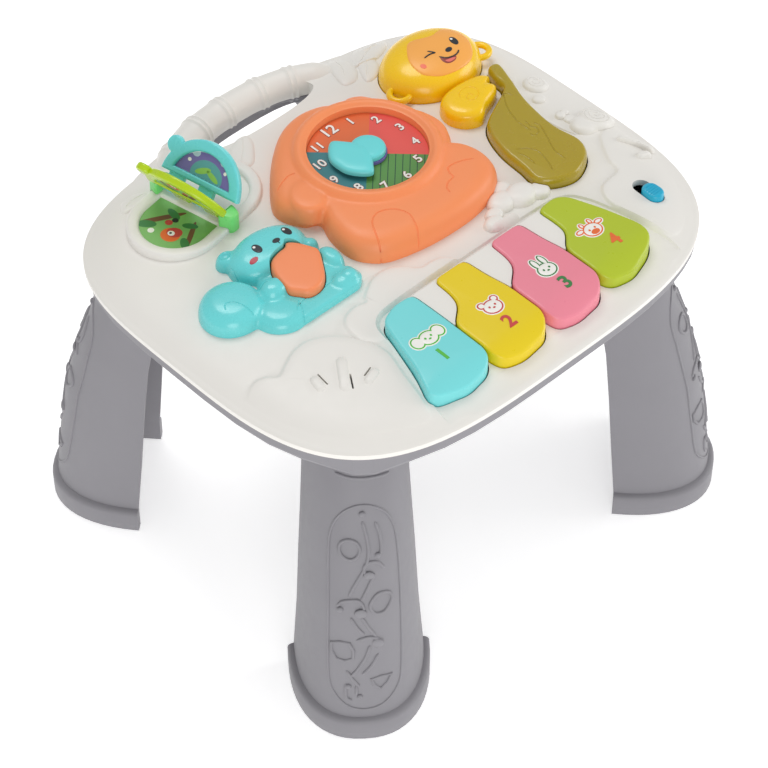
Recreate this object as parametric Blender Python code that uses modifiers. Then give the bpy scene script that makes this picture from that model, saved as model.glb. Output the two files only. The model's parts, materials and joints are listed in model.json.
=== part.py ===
"""Musical activity table for toddlers, as an assembly of separate pieces.

The object stands on the floor at z = 0 with its origin at the middle of the table. +X is its right,
-Y is the front edge with the piano keys, +Y is the back edge with the carrying handle. Metres throughout.
"""
import math

import bmesh
import bpy
from mathutils import Matrix, Vector

# Clearances shared by all pieces
gap = 0.0003
slide_gap = 0.0006
overrun = 0.003


def on_table(place_shares):
    """A place given as shares of the table's half width and of its reach on that side."""
    share_x, share_y = place_shares
    return share_x * half_width, share_y * (front_reach if share_y < 0 else back_reach)


# Table outline: two superellipse halves, with the back edge swelling out under the handle
half_width = 0.1865
front_reach = 0.171
back_reach = 0.148
front_squareness = 3.57
back_squareness = 3.6
handle_bulge = 0.007
handle_bulge_half_width = 0.095
outline_segments = 56
corner_crowding = 0.45

# Heights and walls of the two shells
parting_height = 0.2460
skirt_height = 0.0035
skirt_top = parting_height + skirt_height
crown_rise = 0.011
deck_top = skirt_top + crown_rise
crown_shares = ((1.0, 0.0), (0.972, 0.19), (0.915, 0.53), (0.80, 0.84), (0.52, 1.0))
shell_wall = 0.0024
base_depth = 0.020
underside_height = parting_height - base_depth
base_wall_depth = 0.008
base_wall_bottom = parting_height - base_wall_depth
base_wall_inset = 0.0015
base_chamfer_insets = (0.003, 0.008, 0.018)
base_chamfer_shares = (0.25, 0.667)
corner_lip_drop = 0.007
corner_lip_angle = math.radians(43.2)
corner_lip_half_angle = math.radians(9.0)

# Carrying handle: a bamboo-like grip along an arch, with a hand opening inside it
grip_radius = 0.0115
grip_half_span = 0.071
grip_outset = 0.006
grip_y = back_reach + grip_outset
grip_sag = 0.020
grip_rise = 0.004
grip_height = parting_height + grip_rise
grip_ring_share = 1.1
grip_ring_every = 3
grip_ring_first = 1
hand_opening_half_length = 0.049
hand_opening_x = 0.004
hand_opening_inset = 0.0105
hand_opening_depth = 0.0265
hand_opening_back = grip_y - hand_opening_inset
hand_opening_front = hand_opening_back - hand_opening_depth
hand_opening_squareness = 2.6
grip_clearance = 0.0115
grip_clear_height = grip_height - grip_clearance

# Legs: a U-shaped wall open towards the middle of the table, splayed along one direction
leg_side_inset = 0.0586
leg_front_inset = 0.061
leg_back_inset = 0.038
leg_x = half_width - leg_side_inset
leg_front_y = front_reach - leg_front_inset
leg_back_y = back_reach - leg_back_inset
leg_direction = math.radians(50.4)
leg_height = base_wall_bottom
leg_depth = 0.0655
leg_half_width = 0.044
leg_lean = 0.028
leg_wall = 0.003
leg_squareness = 2.3
leg_arc_segments = 10
# Each row: share of the height, of the lean, of the depth and of the half width
leg_level_shares = (
    (0.26, 0.16, 0.985, 0.927),
    (0.46, 0.32, 0.931, 0.875),
    (0.63, 0.48, 0.824, 0.823),
    (0.80, 0.75, 0.710, 0.773),
    (0.95, 0.96, 0.565, 0.727),
    (1.00, 1.00, 0.534, 0.716),
)
foot_height = 0.018
foot_round = 0.003
foot_overhang = 0.0045

# Piano keys
key_pitch = 0.0499
key_length = 0.082
key_row_centre_x = 0.0047
key_first_x = key_row_centre_x - 2 * key_pitch
key_front_inset = 0.015
key_back_y = key_length + key_front_inset - front_reach
key_gap = 0.0008
key_sink = 0.0085
key_bottom = deck_top - key_sink
key_height = 0.0155
key_profile_shares = ((1.0, 0.0), (1.0, 0.70), (0.965, 0.93), (0.89, 1.0))
key_corner = 0.006
key_wall_share = 0.89
key_ceiling = 0.0025
key_arm_width = 0.011
key_arm_height = 0.006
key_arm_tail = 0.005
key_post_size = 0.006
key_post_drop = 0.0015
key_post_setback = 0.0125
key_post_y = key_back_y - key_post_setback
key_press_angle = math.radians(3.0)
# Outlines start at the back; x is a share of the pitch, y a share of the length
first_key_shares = ((0.99, 0.0), (0.66, 0.01), (0.38, -0.06), (0.26, -0.29), (0.13, -0.57), (-0.05, -0.83),
                    (0.02, -0.90), (0.46, -0.965), (0.85, -0.93), (1.0, -0.84), (1.0, -0.47), (1.0, -0.25))
middle_key_shares = ((0.91, 0.0), (0.36, 0.0), (0.34, -0.22), (0.28, -0.33), (0.0, -0.47), (0.0, -0.84),
                     (0.07, -0.96), (0.37, -1.0), (0.82, -0.97), (1.0, -0.84), (1.0, -0.46), (0.94, -0.25))
last_key_shares = ((0.59, 0.02), (0.25, 0.0), (0.26, -0.20), (0.24, -0.33), (0.0, -0.47), (0.0, -0.84),
                   (0.10, -0.93), (0.43, -0.965), (0.87, -0.88), (1.05, -0.79), (1.07, -0.66), (0.93, -0.35),
                   (0.75, -0.05))
key_outline_shares = (first_key_shares, middle_key_shares, middle_key_shares, last_key_shares)
key_arm_x_shares = (0.82, 0.65, 0.65, 0.48)
key_centre_shares = ((0.55, -0.5), (0.55, -0.55), (0.55, -0.55), (0.45, -0.5))
key_rod_radius = 0.0015
key_rod_offset = 0.008
key_rod_y = key_back_y + key_rod_offset
key_rod_height = key_bottom
key_rod_overhang = 0.012
key_rod_post_size = 0.007
key_board_size = (0.150, 0.054, 0.0016)
key_board_offset = (0.0033, 0.038)
key_board_centre = (key_row_centre_x + key_board_offset[0], key_back_y - key_board_offset[1])
key_board_rise = 0.017
key_board_height = underside_height + key_board_rise
key_board_post_radius = 0.003
key_board_post_inset = 0.008
contact_strip_width = 0.010
contact_strip_thickness = 0.0041
contact_strip_length = 0.146

# Clock: animal-shaped housing, dial, pointer knob
housing_place_shares = (0.0617, 0.1757)
housing_centre = on_table(housing_place_shares)
housing_half_size = (0.0685, 0.073)
housing_outline_shares = (
    (-0.81, -0.73), (-0.64, -0.88), (-0.28, -0.97), (0.07, -1.0), (0.39, -0.99), (0.71, -0.92), (0.91, -0.78),
    (0.97, -0.59), (0.93, -0.41), (0.84, -0.29), (0.93, -0.16), (1.0, 0.0), (0.97, 0.22), (0.85, 0.44),
    (0.77, 0.63), (0.68, 0.79), (0.55, 0.86), (0.42, 0.85), (0.24, 0.96), (-0.02, 1.0), (-0.31, 0.92),
    (-0.64, 0.68), (-0.93, 0.37), (-1.0, 0.18), (-0.90, -0.04), (-0.77, -0.12), (-0.84, -0.32), (-0.87, -0.56))
housing_height = 0.018
housing_profile_shares = ((1.0, 0.15), (0.972, 0.58), (0.92, 0.88), (0.83, 1.0))
housing_inside_share = 0.94
dial_offset = (0.0072, 0.0094)
dial_centre = (housing_centre[0] + dial_offset[0], housing_centre[1] + dial_offset[1])
dial_floor_rise = 0.0131
dial_floor_height = deck_top + dial_floor_rise
dial_floor = 0.0025
dial_radius = 0.0406
dial_thickness = 0.0015
ring_height = 0.0045
ring_outer_radius = 0.0505
ring_profile_shares = ((1.0, -0.4), (0.985, 0.45), (0.93, 0.95), (0.87, 0.95), (0.82, 0.55))
knob_disc_radius = 0.013
knob_disc_thickness = 0.0022
knob_height = 0.0052
knob_round_radius = 0.0122
knob_leaf_x = -0.0145
knob_leaf_half_size = (0.0130, 0.0205)
knob_leaf_shares = ((0.0, -1.0), (0.45, -0.72), (0.85, -0.35), (1.0, 0.0), (0.85, 0.38), (0.45, 0.74), (0.0, 1.0),
                    (-0.6, 0.72), (-0.95, 0.36), (-1.0, 0.0), (-0.92, -0.40), (-0.5, -0.80))
knob_profile_shares = ((1.0, 0.0), (1.0, 0.45), (0.95, 0.72), (0.84, 0.9), (0.62, 1.0))
spindle_radius = 0.003
spindle_length = 0.013
spindle_nut_radius = 0.006
spindle_nut_thickness = 0.0025

# Push buttons: the depth they reach to, and the spring and switch under each
button_sink = 0.0085
button_bottom = deck_top - button_sink
button_travel = 0.0022
button_wall_share = 0.90
works_post_radius = 0.007
works_post_height = 0.014
works_post_top = underside_height + works_post_height
works_spring_radius = 0.0052
works_spring_wire = 0.0005
works_spring_turns = 3
works_spring_points = 8
works_switch_radius = 0.0034
works_switch_height = 0.0040
works_stem_radius = 0.0022

# Squirrel with its nut. Each lobe row: x, y, x radius, y radius as shares of the half width, height share
squirrel_place_shares = (-0.563, -0.01754)
squirrel_centre = on_table(squirrel_place_shares)
squirrel_half_width = 0.052
squirrel_height = 0.014
squirrel_lobe_shares = (
    (-0.58, 0.00, 0.42, 0.41, 0.95),
    (-0.15, -0.38, 0.41, 0.39, 0.88),
    (0.38, -0.56, 0.60, 0.21, 0.72),
    (0.38, -0.20, 0.60, 0.50, 0.62),
    (0.36, 0.40, 0.58, 0.38, 1.00),
    (-0.08, 0.66, 0.16, 0.14, 0.72),
    (0.87, -0.20, 0.14, 0.22, 0.78),
    (0.02, -0.14, 0.29, 0.20, 0.90),
)
squirrel_sunk_share = 0.30
nut_offset = (0.0215, -0.0070)
nut_centre = (squirrel_centre[0] + nut_offset[0], squirrel_centre[1] + nut_offset[1])
nut_half_size = (0.0195, 0.0225)
nut_outline_shares = ((-0.90, 0.18), (-0.59, 0.67), (-0.18, 0.84), (0.23, 0.89), (0.44, 1.0), (0.69, 0.80),
                      (0.95, 0.36), (1.0, 0.13), (0.74, -0.27), (0.33, -0.76), (-0.08, -0.98), (-0.54, -0.98),
                      (-0.79, -0.76), (-1.0, -0.44))
nut_height = 0.022
nut_profile_shares = ((1.0, 0.0), (1.0, 0.84), (0.93, 0.96), (0.74, 1.0))

# Leaf button
leaf_place_shares = (0.6488, -0.0497)
leaf_centre = on_table(leaf_place_shares)
leaf_half_size = (0.033, 0.0585)
leaf_outline_shares = ((0.76, 1.0), (1.0, 0.95), (0.85, 0.66), (0.64, 0.35), (0.52, 0.06), (0.45, -0.28),
                       (0.52, -0.62), (0.36, -0.83), (-0.03, -0.97), (-0.39, -1.0), (-0.79, -0.91), (-1.0, -0.76),
                       (-0.94, -0.50), (-0.88, -0.16), (-0.70, 0.15), (-0.45, 0.33), (0.03, 0.47), (0.52, 0.62),
                       (0.61, 0.83))
leaf_height = 0.0165
leaf_profile_shares = ((1.0, 0.0), (1.0, 0.62), (0.94, 0.84), (0.72, 1.0))
leaf_works_place_shares = (-0.09, -0.37)
leaf_light_place_shares = (0.0, 0.25)
leaf_light_radius = 0.0025
leaf_light_height = 0.006

# Monkey: head button, face inset and the fixed curled arm
head_place_shares = (0.622, 0.5405)
head_centre = on_table(head_place_shares)
head_half_size = (0.037, 0.030)
head_turn = math.radians(10.0)
head_height = 0.028
head_profile_shares = ((1.0, 0.0), (1.0, 0.34), (0.96, 0.56), (0.86, 0.76), (0.66, 0.91), (0.35, 1.0))
face_offset = (0.011, -0.005)
face_half_size = (0.0235, 0.0215)
face_depth_share = 0.50
face_proud = 0.0006
ear_radius = 0.006
ear_wire = 0.002
ear_centre_shares = ((-0.98, -0.05), (1.0, -0.22))
ear_height_share = 0.47
arm_offset = (-0.003, -0.047)
arm_centre = (head_centre[0] + arm_offset[0], head_centre[1] + arm_offset[1])
arm_half_size = (0.025, 0.018)
arm_outline_shares = ((-0.32, -1.0), (-0.76, -0.72), (-0.96, -0.11), (-0.84, 0.50), (-0.52, 0.80), (-0.04, 0.88),
                      (0.44, 0.82), (0.84, 0.66), (0.98, 0.39), (0.76, 0.17), (0.84, -0.17), (0.56, -0.44),
                      (0.12, -0.67))
arm_height = 0.013
arm_profile_shares = ((1.0, -0.5), (1.0, 0.40), (0.94, 0.68), (0.82, 0.88), (0.55, 1.0))

# Book corner: two rings on the deck, a hinge line between them and two pages that stand open
book_place_shares = (-0.4826, 0.5811)
book_centre = on_table(book_place_shares)
book_turn = math.radians(11.0)
book_lobe_distance = 0.020
book_ring_outer = 0.0325
book_ring_inner = 0.0243
book_bar_half_width = 0.005
book_ring_height = 0.004
book_ring_top = deck_top + book_ring_height
book_picture_rise = 0.0015
book_picture_top = deck_top + book_picture_rise
page_radius = 0.0315
page_centre_height = 0.0080
page_hole_radius = 0.0235
page_hole_root = 0.0140
page_thickness = 0.0041
page_root = 0.0095
page_ear_radius = 0.006
page_ear_place = (0.027, 0.0275)
page_seam = 0.0001
page_picture_thickness = 0.0021
page_lean_lime = math.radians(-30.0)
page_lean_cyan = math.radians(36.0)
knuckle_radius = 0.0032
knuckle_count = 4
knuckle_span = 0.0492
page_pin_radius = 0.0015
book_block_half_width = 0.008
book_block_length = 0.0100
book_block_rise = 0.0045

# Slide switch
switch_place_shares = (0.7507, -0.6237)
switch_centre = on_table(switch_place_shares)
slider_size = (0.012, 0.016)
slider_sink = 0.0105
slider_rise = 0.0035
slider_bottom = deck_top - slider_sink
slider_top = deck_top + slider_rise
slider_round = 0.002
slider_flange = 0.0018
slider_flange_thickness = 0.0012
slider_travel = 0.0075
switch_body_height = 0.006
switch_ear_width = 0.003

# Speaker and the sound slots above it
speaker_place_shares = (-0.6542, -0.5439)
speaker_centre = on_table(speaker_place_shares)
speaker_radius = 0.020
speaker_frame_depth = 0.0105
speaker_frame_bottom = deck_top - speaker_frame_depth
speaker_magnet_radius = 0.012
speaker_magnet_depth = 0.008
speaker_magnet_bottom = speaker_frame_bottom - speaker_magnet_depth
slot_width = 0.0026
# Ends of each slot as shares of the speaker's radius, from its centre
sound_slot_shares = (((-0.95, 0.65), (-1.0, -0.35)), ((0.30, 0.55), (-0.525, -0.65)),
                     ((0.775, -0.625), (0.10, -0.975)))

# Battery compartment in the underside
battery_radius = 0.00715
battery_length = 0.0505
battery_pitch = 0.0156
battery_count = 3
battery_bay_centre = (0.0, 0.005)
battery_wall = 0.0036
battery_ceiling = 0.0018
battery_door_thickness = 0.0022
battery_door_tail = 0.0100
contact_thickness = 0.001
contact_height = 0.012

# Screws
screw_shaft_radius = 0.0012
screw_head_radius = 0.0030
screw_head_height = 0.0020
screw_post_radius = 0.0045
screw_sink = 0.004
screw_joint_depth = 0.006
screw_joint_height = parting_height - screw_joint_depth
case_screw_shares = ((-0.6434, -0.8304), (0.6434, -0.8304), (-0.8794, 0.1014), (0.8794, 0.1014),
                     (-0.3861, 0.8378), (0.4290, 0.8378))
case_screw_places = [on_table(shares) for shares in case_screw_shares]

# Colours
white = (0.84, 0.83, 0.80)
grey = (0.30, 0.30, 0.315)
orange = (1.0, 0.30, 0.12)
cyan = (0.22, 0.76, 0.76)
yellow = (1.0, 0.66, 0.01)
face_orange = (1.0, 0.45, 0.11)
olive = (0.46, 0.36, 0.02)
key_yellow = (0.88, 0.68, 0.01)
pink = (0.92, 0.30, 0.38)
green = (0.48, 0.61, 0.02)
lime = (0.52, 0.72, 0.01)
hinge_green = (0.22, 0.79, 0.22)
purple = (0.20, 0.17, 0.45)
blue = (0.02, 0.45, 0.68)
steel = (0.60, 0.60, 0.60)
dark = (0.03, 0.03, 0.035)
board_green = (0.02, 0.18, 0.07)
key_colours = (cyan, key_yellow, pink, green)


def new_collection(name):
    collection = bpy.data.collections.new(name)
    bpy.context.scene.collection.children.link(collection)
    return collection


def make_material(name, colour, roughness=0.4, metallic=0.0):
    material = bpy.data.materials.new(name)
    material.use_nodes = True
    shader = material.node_tree.nodes["Principled BSDF"]
    shader.inputs["Base Color"].default_value = (*colour, 1.0)
    shader.inputs["Roughness"].default_value = roughness
    shader.inputs["Metallic"].default_value = metallic
    return material


def new_object(name, bm, collection):
    """Turn a bmesh into an object with outward normals."""
    bmesh.ops.recalc_face_normals(bm, faces=bm.faces)
    mesh = bpy.data.meshes.new(name)
    bm.to_mesh(mesh)
    bm.free()
    thing = bpy.data.objects.new(name, mesh)
    collection.objects.link(thing)
    return thing


def as_tool(thing):
    """Keep a cutter or an added form out of the model itself."""
    thing.hide_render = True
    thing.display_type = 'WIRE'
    return thing


def finish(thing, material, smooth_angle=math.radians(35.0)):
    thing.data.materials.append(material)
    thing.data.shade_smooth()
    thing.data.set_sharp_from_angle(angle=smooth_angle)
    return thing


def combine(target, tool, operation):
    modifier = target.modifiers.new(tool.name, 'BOOLEAN')
    modifier.operation = operation
    modifier.object = tool
    return target


def cut(target, *tools):
    for tool in tools:
        combine(target, tool, 'DIFFERENCE')
    return target


def join(target, *tools):
    for tool in tools:
        combine(target, tool, 'UNION')
    return target


def loft(name, rings, collection):
    """Close a run of rings, each with the same number of points, into one solid."""
    bm = bmesh.new()
    loops = [[bm.verts.new(point) for point in ring] for ring in rings]
    count = len(loops[0])
    for lower, upper in zip(loops, loops[1:]):
        for i in range(count):
            j = (i + 1) % count
            bm.faces.new((lower[i], lower[j], upper[j], upper[i]))
    bm.faces.new(list(reversed(loops[0])))
    bm.faces.new(loops[-1])
    return new_object(name, bm, collection)


def at_height(outline, z):
    return [Vector((x, y, z)) for x, y in outline]


def prism(name, outline, bottom, top, collection):
    return loft(name, [at_height(outline, bottom), at_height(outline, top)], collection)


def scaled(outline, centre, share):
    return [(centre[0] + (x - centre[0]) * share, centre[1] + (y - centre[1]) * share) for x, y in outline]


def domed(name, outline, centre, bottom, height, profile_shares, collection):
    """A solid whose outline shrinks towards its centre as it rises."""
    rings = [at_height(scaled(outline, centre, share), bottom + height * rise) for share, rise in profile_shares]
    return loft(name, rings, collection)


def smooth_outline(points, steps):
    """A closed curve through the points, with the given number of steps between two of them."""
    count = len(points)
    result = []
    for i in range(count):
        before, start, end, after = (Vector(points[(i + k - 1) % count]) for k in range(4))
        for step in range(steps):
            t = step / steps
            point = 0.5 * (2 * start + (end - before) * t + (2 * before - 5 * start + 4 * end - after) * t ** 2
                           + (3 * start - before - 3 * end + after) * t ** 3)
            result.append(tuple(point))
    return result


def round_corners(points, radius, steps=2):
    """Replace each corner of a polygon by a short curve that starts the given length before it."""
    count = len(points)
    result = []
    for i in range(count):
        corner = Vector(points[i])
        for_back = Vector(points[i - 1]) - corner
        for_next = Vector(points[(i + 1) % count]) - corner
        start = corner + for_back.normalized() * min(radius, for_back.length * 0.45)
        end = corner + for_next.normalized() * min(radius, for_next.length * 0.45)
        for step in range(steps + 1):
            t = step / steps
            result.append(tuple(start * (1 - t) ** 2 + corner * 2 * t * (1 - t) + end * t ** 2))
    return result


def offset_outline(outline, distance):
    """Move a counter-clockwise outline outwards by a small distance."""
    count = len(outline)
    area = sum(outline[i - 1][0] * outline[i][1] - outline[i][0] * outline[i - 1][1] for i in range(count))
    side = 1 if area > 0 else -1
    result = []
    for i in range(count):
        before = (Vector(outline[i]) - Vector(outline[i - 1])).normalized()
        after = (Vector(outline[(i + 1) % count]) - Vector(outline[i])).normalized()
        normal = Vector((before.y + after.y, -before.x - after.x)).normalized()
        lean = max(0.5, normal.dot(Vector((before.y, -before.x))))
        result.append(tuple(Vector(outline[i]) + normal * side * distance / lean))
    return result


def placed(shares, centre, half_size, turn=0.0):
    """Outline shares of a half size, set at their centre."""
    c, s = math.cos(turn), math.sin(turn)
    points = [(sx * half_size[0], sy * half_size[1]) for sx, sy in shares]
    return [(centre[0] + x * c - y * s, centre[1] + x * s + y * c) for x, y in points]


def ellipse(centre, half_size, count, turn=0.0):
    angles = [2 * math.pi * i / count for i in range(count)]
    return placed([(math.cos(a), math.sin(a)) for a in angles], centre, half_size, turn)


def circle(centre, radius, count):
    return ellipse(centre, (radius, radius), count)


def cylinder(name, centre, radius, bottom, top, collection, count=12):
    bm = bmesh.new()
    place = Matrix.Translation((centre[0], centre[1], (bottom + top) / 2))
    bmesh.ops.create_cone(bm, cap_ends=True, segments=count, radius1=radius, radius2=radius,
                          depth=top - bottom, matrix=place)
    return new_object(name, bm, collection)


def rod(name, start, end, radius, collection, count=10):
    """A cylinder between any two points."""
    start, end = Vector(start), Vector(end)
    turn = (end - start).to_track_quat('Z', 'Y').to_matrix().to_4x4()
    bm = bmesh.new()
    bmesh.ops.create_cone(bm, cap_ends=True, segments=count, radius1=radius, radius2=radius,
                          depth=(end - start).length, matrix=Matrix.Translation((start + end) / 2) @ turn)
    return new_object(name, bm, collection)


def box(name, low, high, collection):
    low, high = Vector(low), Vector(high)
    bm = bmesh.new()
    place = Matrix.Translation((low + high) / 2) @ Matrix.Diagonal((*(high - low), 1.0))
    bmesh.ops.create_cube(bm, size=1.0, matrix=place)
    return new_object(name, bm, collection)


def ellipsoid(name, centre, radii, collection, segments=16, rings=10):
    bm = bmesh.new()
    place = Matrix.Translation(centre) @ Matrix.Diagonal((*radii, 1.0))
    bmesh.ops.create_uvsphere(bm, u_segments=segments, v_segments=rings, radius=1.0, matrix=place)
    return new_object(name, bm, collection)


def tube(name, points, radius, collection, radius_shares=None, resolution=3):
    """A round bar along the points, made a mesh with welded caps."""
    curve = bpy.data.curves.new(name, 'CURVE')
    curve.dimensions = '3D'
    curve.bevel_depth = radius
    curve.bevel_resolution = resolution
    curve.use_fill_caps = True
    spline = curve.splines.new('POLY')
    spline.points.add(len(points) - 1)
    for i, point in enumerate(points):
        spline.points[i].co = (*point, 1.0)
        spline.points[i].radius = radius_shares[i] if radius_shares else 1.0
    drawn = bpy.data.objects.new(name, curve)
    collection.objects.link(drawn)
    bpy.context.view_layer.update()
    mesh = bpy.data.meshes.new_from_object(drawn.evaluated_get(bpy.context.evaluated_depsgraph_get()))
    bpy.data.objects.remove(drawn)
    bm = bmesh.new()
    bm.from_mesh(mesh)
    bmesh.ops.remove_doubles(bm, verts=bm.verts, dist=radius / 100)
    bpy.data.meshes.remove(mesh)
    return new_object(name, bm, collection)


def round_top(thing, width, above, segments=2):
    """Round the edges whose vertices lie above a height."""
    group = thing.vertex_groups.new(name="top_edge")
    group.add([v.index for v in thing.data.vertices if v.co.z > above], 1.0, 'REPLACE')
    bevel = thing.modifiers.new("rounding", 'BEVEL')
    bevel.limit_method = 'VGROUP'
    bevel.vertex_group = group.name
    bevel.width = width
    bevel.segments = segments
    return thing


# Table surface
def rim_radius(angle):
    c, s = abs(math.cos(angle)), abs(math.sin(angle))
    front = math.sin(angle) < 0
    squareness = front_squareness if front else back_squareness
    reach = front_reach if front else back_reach
    return ((c / half_width) ** squareness + (s / reach) ** squareness) ** (-1 / squareness)


def rim_angle(i):
    """Angle of one outline point, with the points closer together round the corners."""
    even = 2 * math.pi * i / outline_segments
    return even + corner_crowding * math.sin(4 * even) / 4


def rim_outline(inset=0.0, share=1.0):
    points = []
    for i in range(outline_segments):
        angle = rim_angle(i)
        radius = (rim_radius(angle) - inset) * share
        x, y = radius * math.cos(angle), radius * math.sin(angle)
        if y > 0 and abs(x) < handle_bulge_half_width * share:
            y += handle_bulge * share * (1 - abs(x / (handle_bulge_half_width * share)) ** 3)
        points.append((x, y))
    return points


def deck_rings(raise_by=0.0, inset=0.0):
    return [at_height(rim_outline(inset, share), skirt_top + raise_by + crown_rise * rise)
            for share, rise in crown_shares]


def hand_outline(grow=0.0, reach_out=0.0):
    """The hand opening, as a squared oval, optionally grown or run out past the back edge."""
    middle = (hand_opening_front + hand_opening_back) / 2
    half_depth = (hand_opening_back - hand_opening_front) / 2
    points = []
    count = 28
    for i in range(count):
        angle = 2 * math.pi * i / count
        c, s = math.cos(angle), math.sin(angle)
        x = hand_opening_x + math.copysign(abs(c) ** (2 / hand_opening_squareness), c) * (
            hand_opening_half_length + grow)
        y = math.copysign(abs(s) ** (2 / hand_opening_squareness), s) * (half_depth + grow)
        points.append((x, middle + y + (reach_out if y >= 0 else 0.0)))
    return points


def grip_path():
    """Points of the handle's centre line, with a swelling at each node ring."""
    count = 16
    points, swell = [], []
    for i in range(count):
        x = -grip_half_span + 2 * grip_half_span * i / (count - 1)
        y = grip_y - grip_sag * abs(x / grip_half_span) ** 2.4
        points.append((x, y, grip_height))
        swell.append(grip_ring_share if i % grip_ring_every == grip_ring_first else 1.0)
    return points, swell


parts = None
tools = None


def build_top_shell(deck_cutters):
    outer = [at_height(rim_outline(), parting_height)] + deck_rings()
    shell = loft("top_shell", outer, parts)
    inner_rings = [at_height(rim_outline(shell_wall), parting_height - overrun)]
    inner_rings += deck_rings(-shell_wall, shell_wall)
    inside = as_tool(loft("top_inside", inner_rings, tools))
    hand_wall = as_tool(prism("top_hand_wall", hand_outline(shell_wall), parting_height - 2 * overrun,
                              deck_top + overrun, tools))
    cut(inside, hand_wall)
    cut(shell, inside)
    points, swell = grip_path()
    grip = as_tool(tube("grip_upper", points, grip_radius, tools, swell))
    below = as_tool(box("grip_upper_trim", (-half_width, 0, grip_height - 2 * grip_radius),
                        (half_width, 2 * grip_y, parting_height), tools))
    cut(grip, below)
    opening = as_tool(prism("hand_opening_upper", hand_outline(), parting_height - overrun,
                            deck_top + overrun, tools))
    cut(shell, opening)
    join(shell, grip)
    for i, place in enumerate(case_screw_places):
        boss = as_tool(cylinder(f"boss_{i + 1}", place, screw_post_radius, screw_joint_height + gap,
                                deck_height(*place) - shell_wall / 2, tools, 10))
        join(shell, boss)
    ring = as_tool(build_book_ring())
    join(shell, ring)
    for i, place in enumerate(case_screw_places):
        hole = as_tool(cylinder(f"boss_hole_{i + 1}", place, screw_shaft_radius + gap,
                                screw_joint_height - overrun, deck_height(*place) - 2 * shell_wall, tools, 8))
        cut(shell, hole)
    cut(shell, *deck_cutters)
    return finish(shell, make_material("white_shell", white, 0.45))


def deck_height(x, y):
    """Height of the deck's outer surface over a point."""
    share = math.hypot(x, y) / rim_radius(math.atan2(y, x))
    for (outer_share, outer_rise), (inner_share, inner_rise) in zip(crown_shares, crown_shares[1:]):
        if inner_share <= share <= outer_share:
            part = (share - inner_share) / (outer_share - inner_share)
            return skirt_top + crown_rise * (inner_rise + (outer_rise - inner_rise) * part)
    return skirt_top + (crown_rise if share < 1 else 0.0)


def build_deck_trims():
    """Two solids that end just above the deck and just under it, to seat pieces on it."""
    on_deck = [at_height(rim_outline(), underside_height)] + deck_rings(gap)
    under = [at_height(rim_outline(shell_wall + gap), underside_height)]
    under += deck_rings(-shell_wall - gap, shell_wall + gap)
    trim = as_tool(loft("on_deck_trim", on_deck, tools))
    below = as_tool(loft("under_deck_space", under, tools))
    return trim, below


def book_point(along, across, z=0.0):
    """A point in the book's own frame: along the line of its rings, across it, and a height."""
    c, s = math.cos(book_turn), math.sin(book_turn)
    return (book_centre[0] + along * c - across * s, book_centre[1] + along * s + across * c, z)


def book_lobe(side, radius, near):
    """Half of the book's outline: a round end and straight sides up to a line near the hinge."""
    count = 16
    points = []
    for i in range(count + 1):
        angle = math.pi * (i / count - 0.5)
        along = book_lobe_distance + radius * math.cos(angle)
        points.append(book_point(side * along, side * radius * math.sin(angle))[:2])
    if near > 0:
        points.append(book_point(side * near, side * radius)[:2])
        points.append(book_point(side * near, -side * radius)[:2])
    return points


def build_book_ring():
    low = skirt_top + crown_rise / 2
    outline = book_lobe(1, book_ring_outer, 0) + book_lobe(-1, book_ring_outer, 0)
    ring = prism("book_ring", outline, low, book_ring_top, tools)
    for name, side in (("left", -1), ("right", 1)):
        well = as_tool(prism(f"book_well_{name}", book_lobe(side, book_ring_inner, book_bar_half_width),
                             low - overrun, book_ring_top + overrun, tools))
        cut(ring, well)
    return ring


def base_rings(inner):
    """Rings of the lower shell's outside, or of its inside, from the underside up to the parting."""
    wall = shell_wall if inner else 0.0
    insets = [inset + wall for inset in reversed(base_chamfer_insets)] + [base_wall_inset + wall] * 2
    chamfer_depth = base_wall_bottom - underside_height
    heights = [base_wall_bottom - chamfer_depth * share for share in (*base_chamfer_shares, 1)]
    heights = list(reversed(heights)) + [base_wall_bottom]
    heights = [height + wall for height in heights] + [parting_height - gap + (overrun if inner else 0.0)]
    drops = (0.0, 0.5, 1.0, 1.0, 0.0)
    rings = []
    for inset, height, drop in zip(insets, heights, drops):
        ring = []
        for i, (x, y) in enumerate(rim_outline(inset)):
            angle = rim_angle(i)
            lip = 0.0
            for sign_x in (-1, 1):
                for sign_y in (-1, 1):
                    corner = math.atan2(sign_y * math.sin(corner_lip_angle), sign_x * math.cos(corner_lip_angle))
                    away = abs((angle - corner + math.pi) % (2 * math.pi) - math.pi)
                    if away < corner_lip_half_angle:
                        lip = math.cos(math.pi / 2 * away / corner_lip_half_angle) ** 2
            ring.append(Vector((x, y, max(height - corner_lip_drop * drop * lip, underside_height + wall))))
        rings.append(ring)
    return rings


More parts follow.
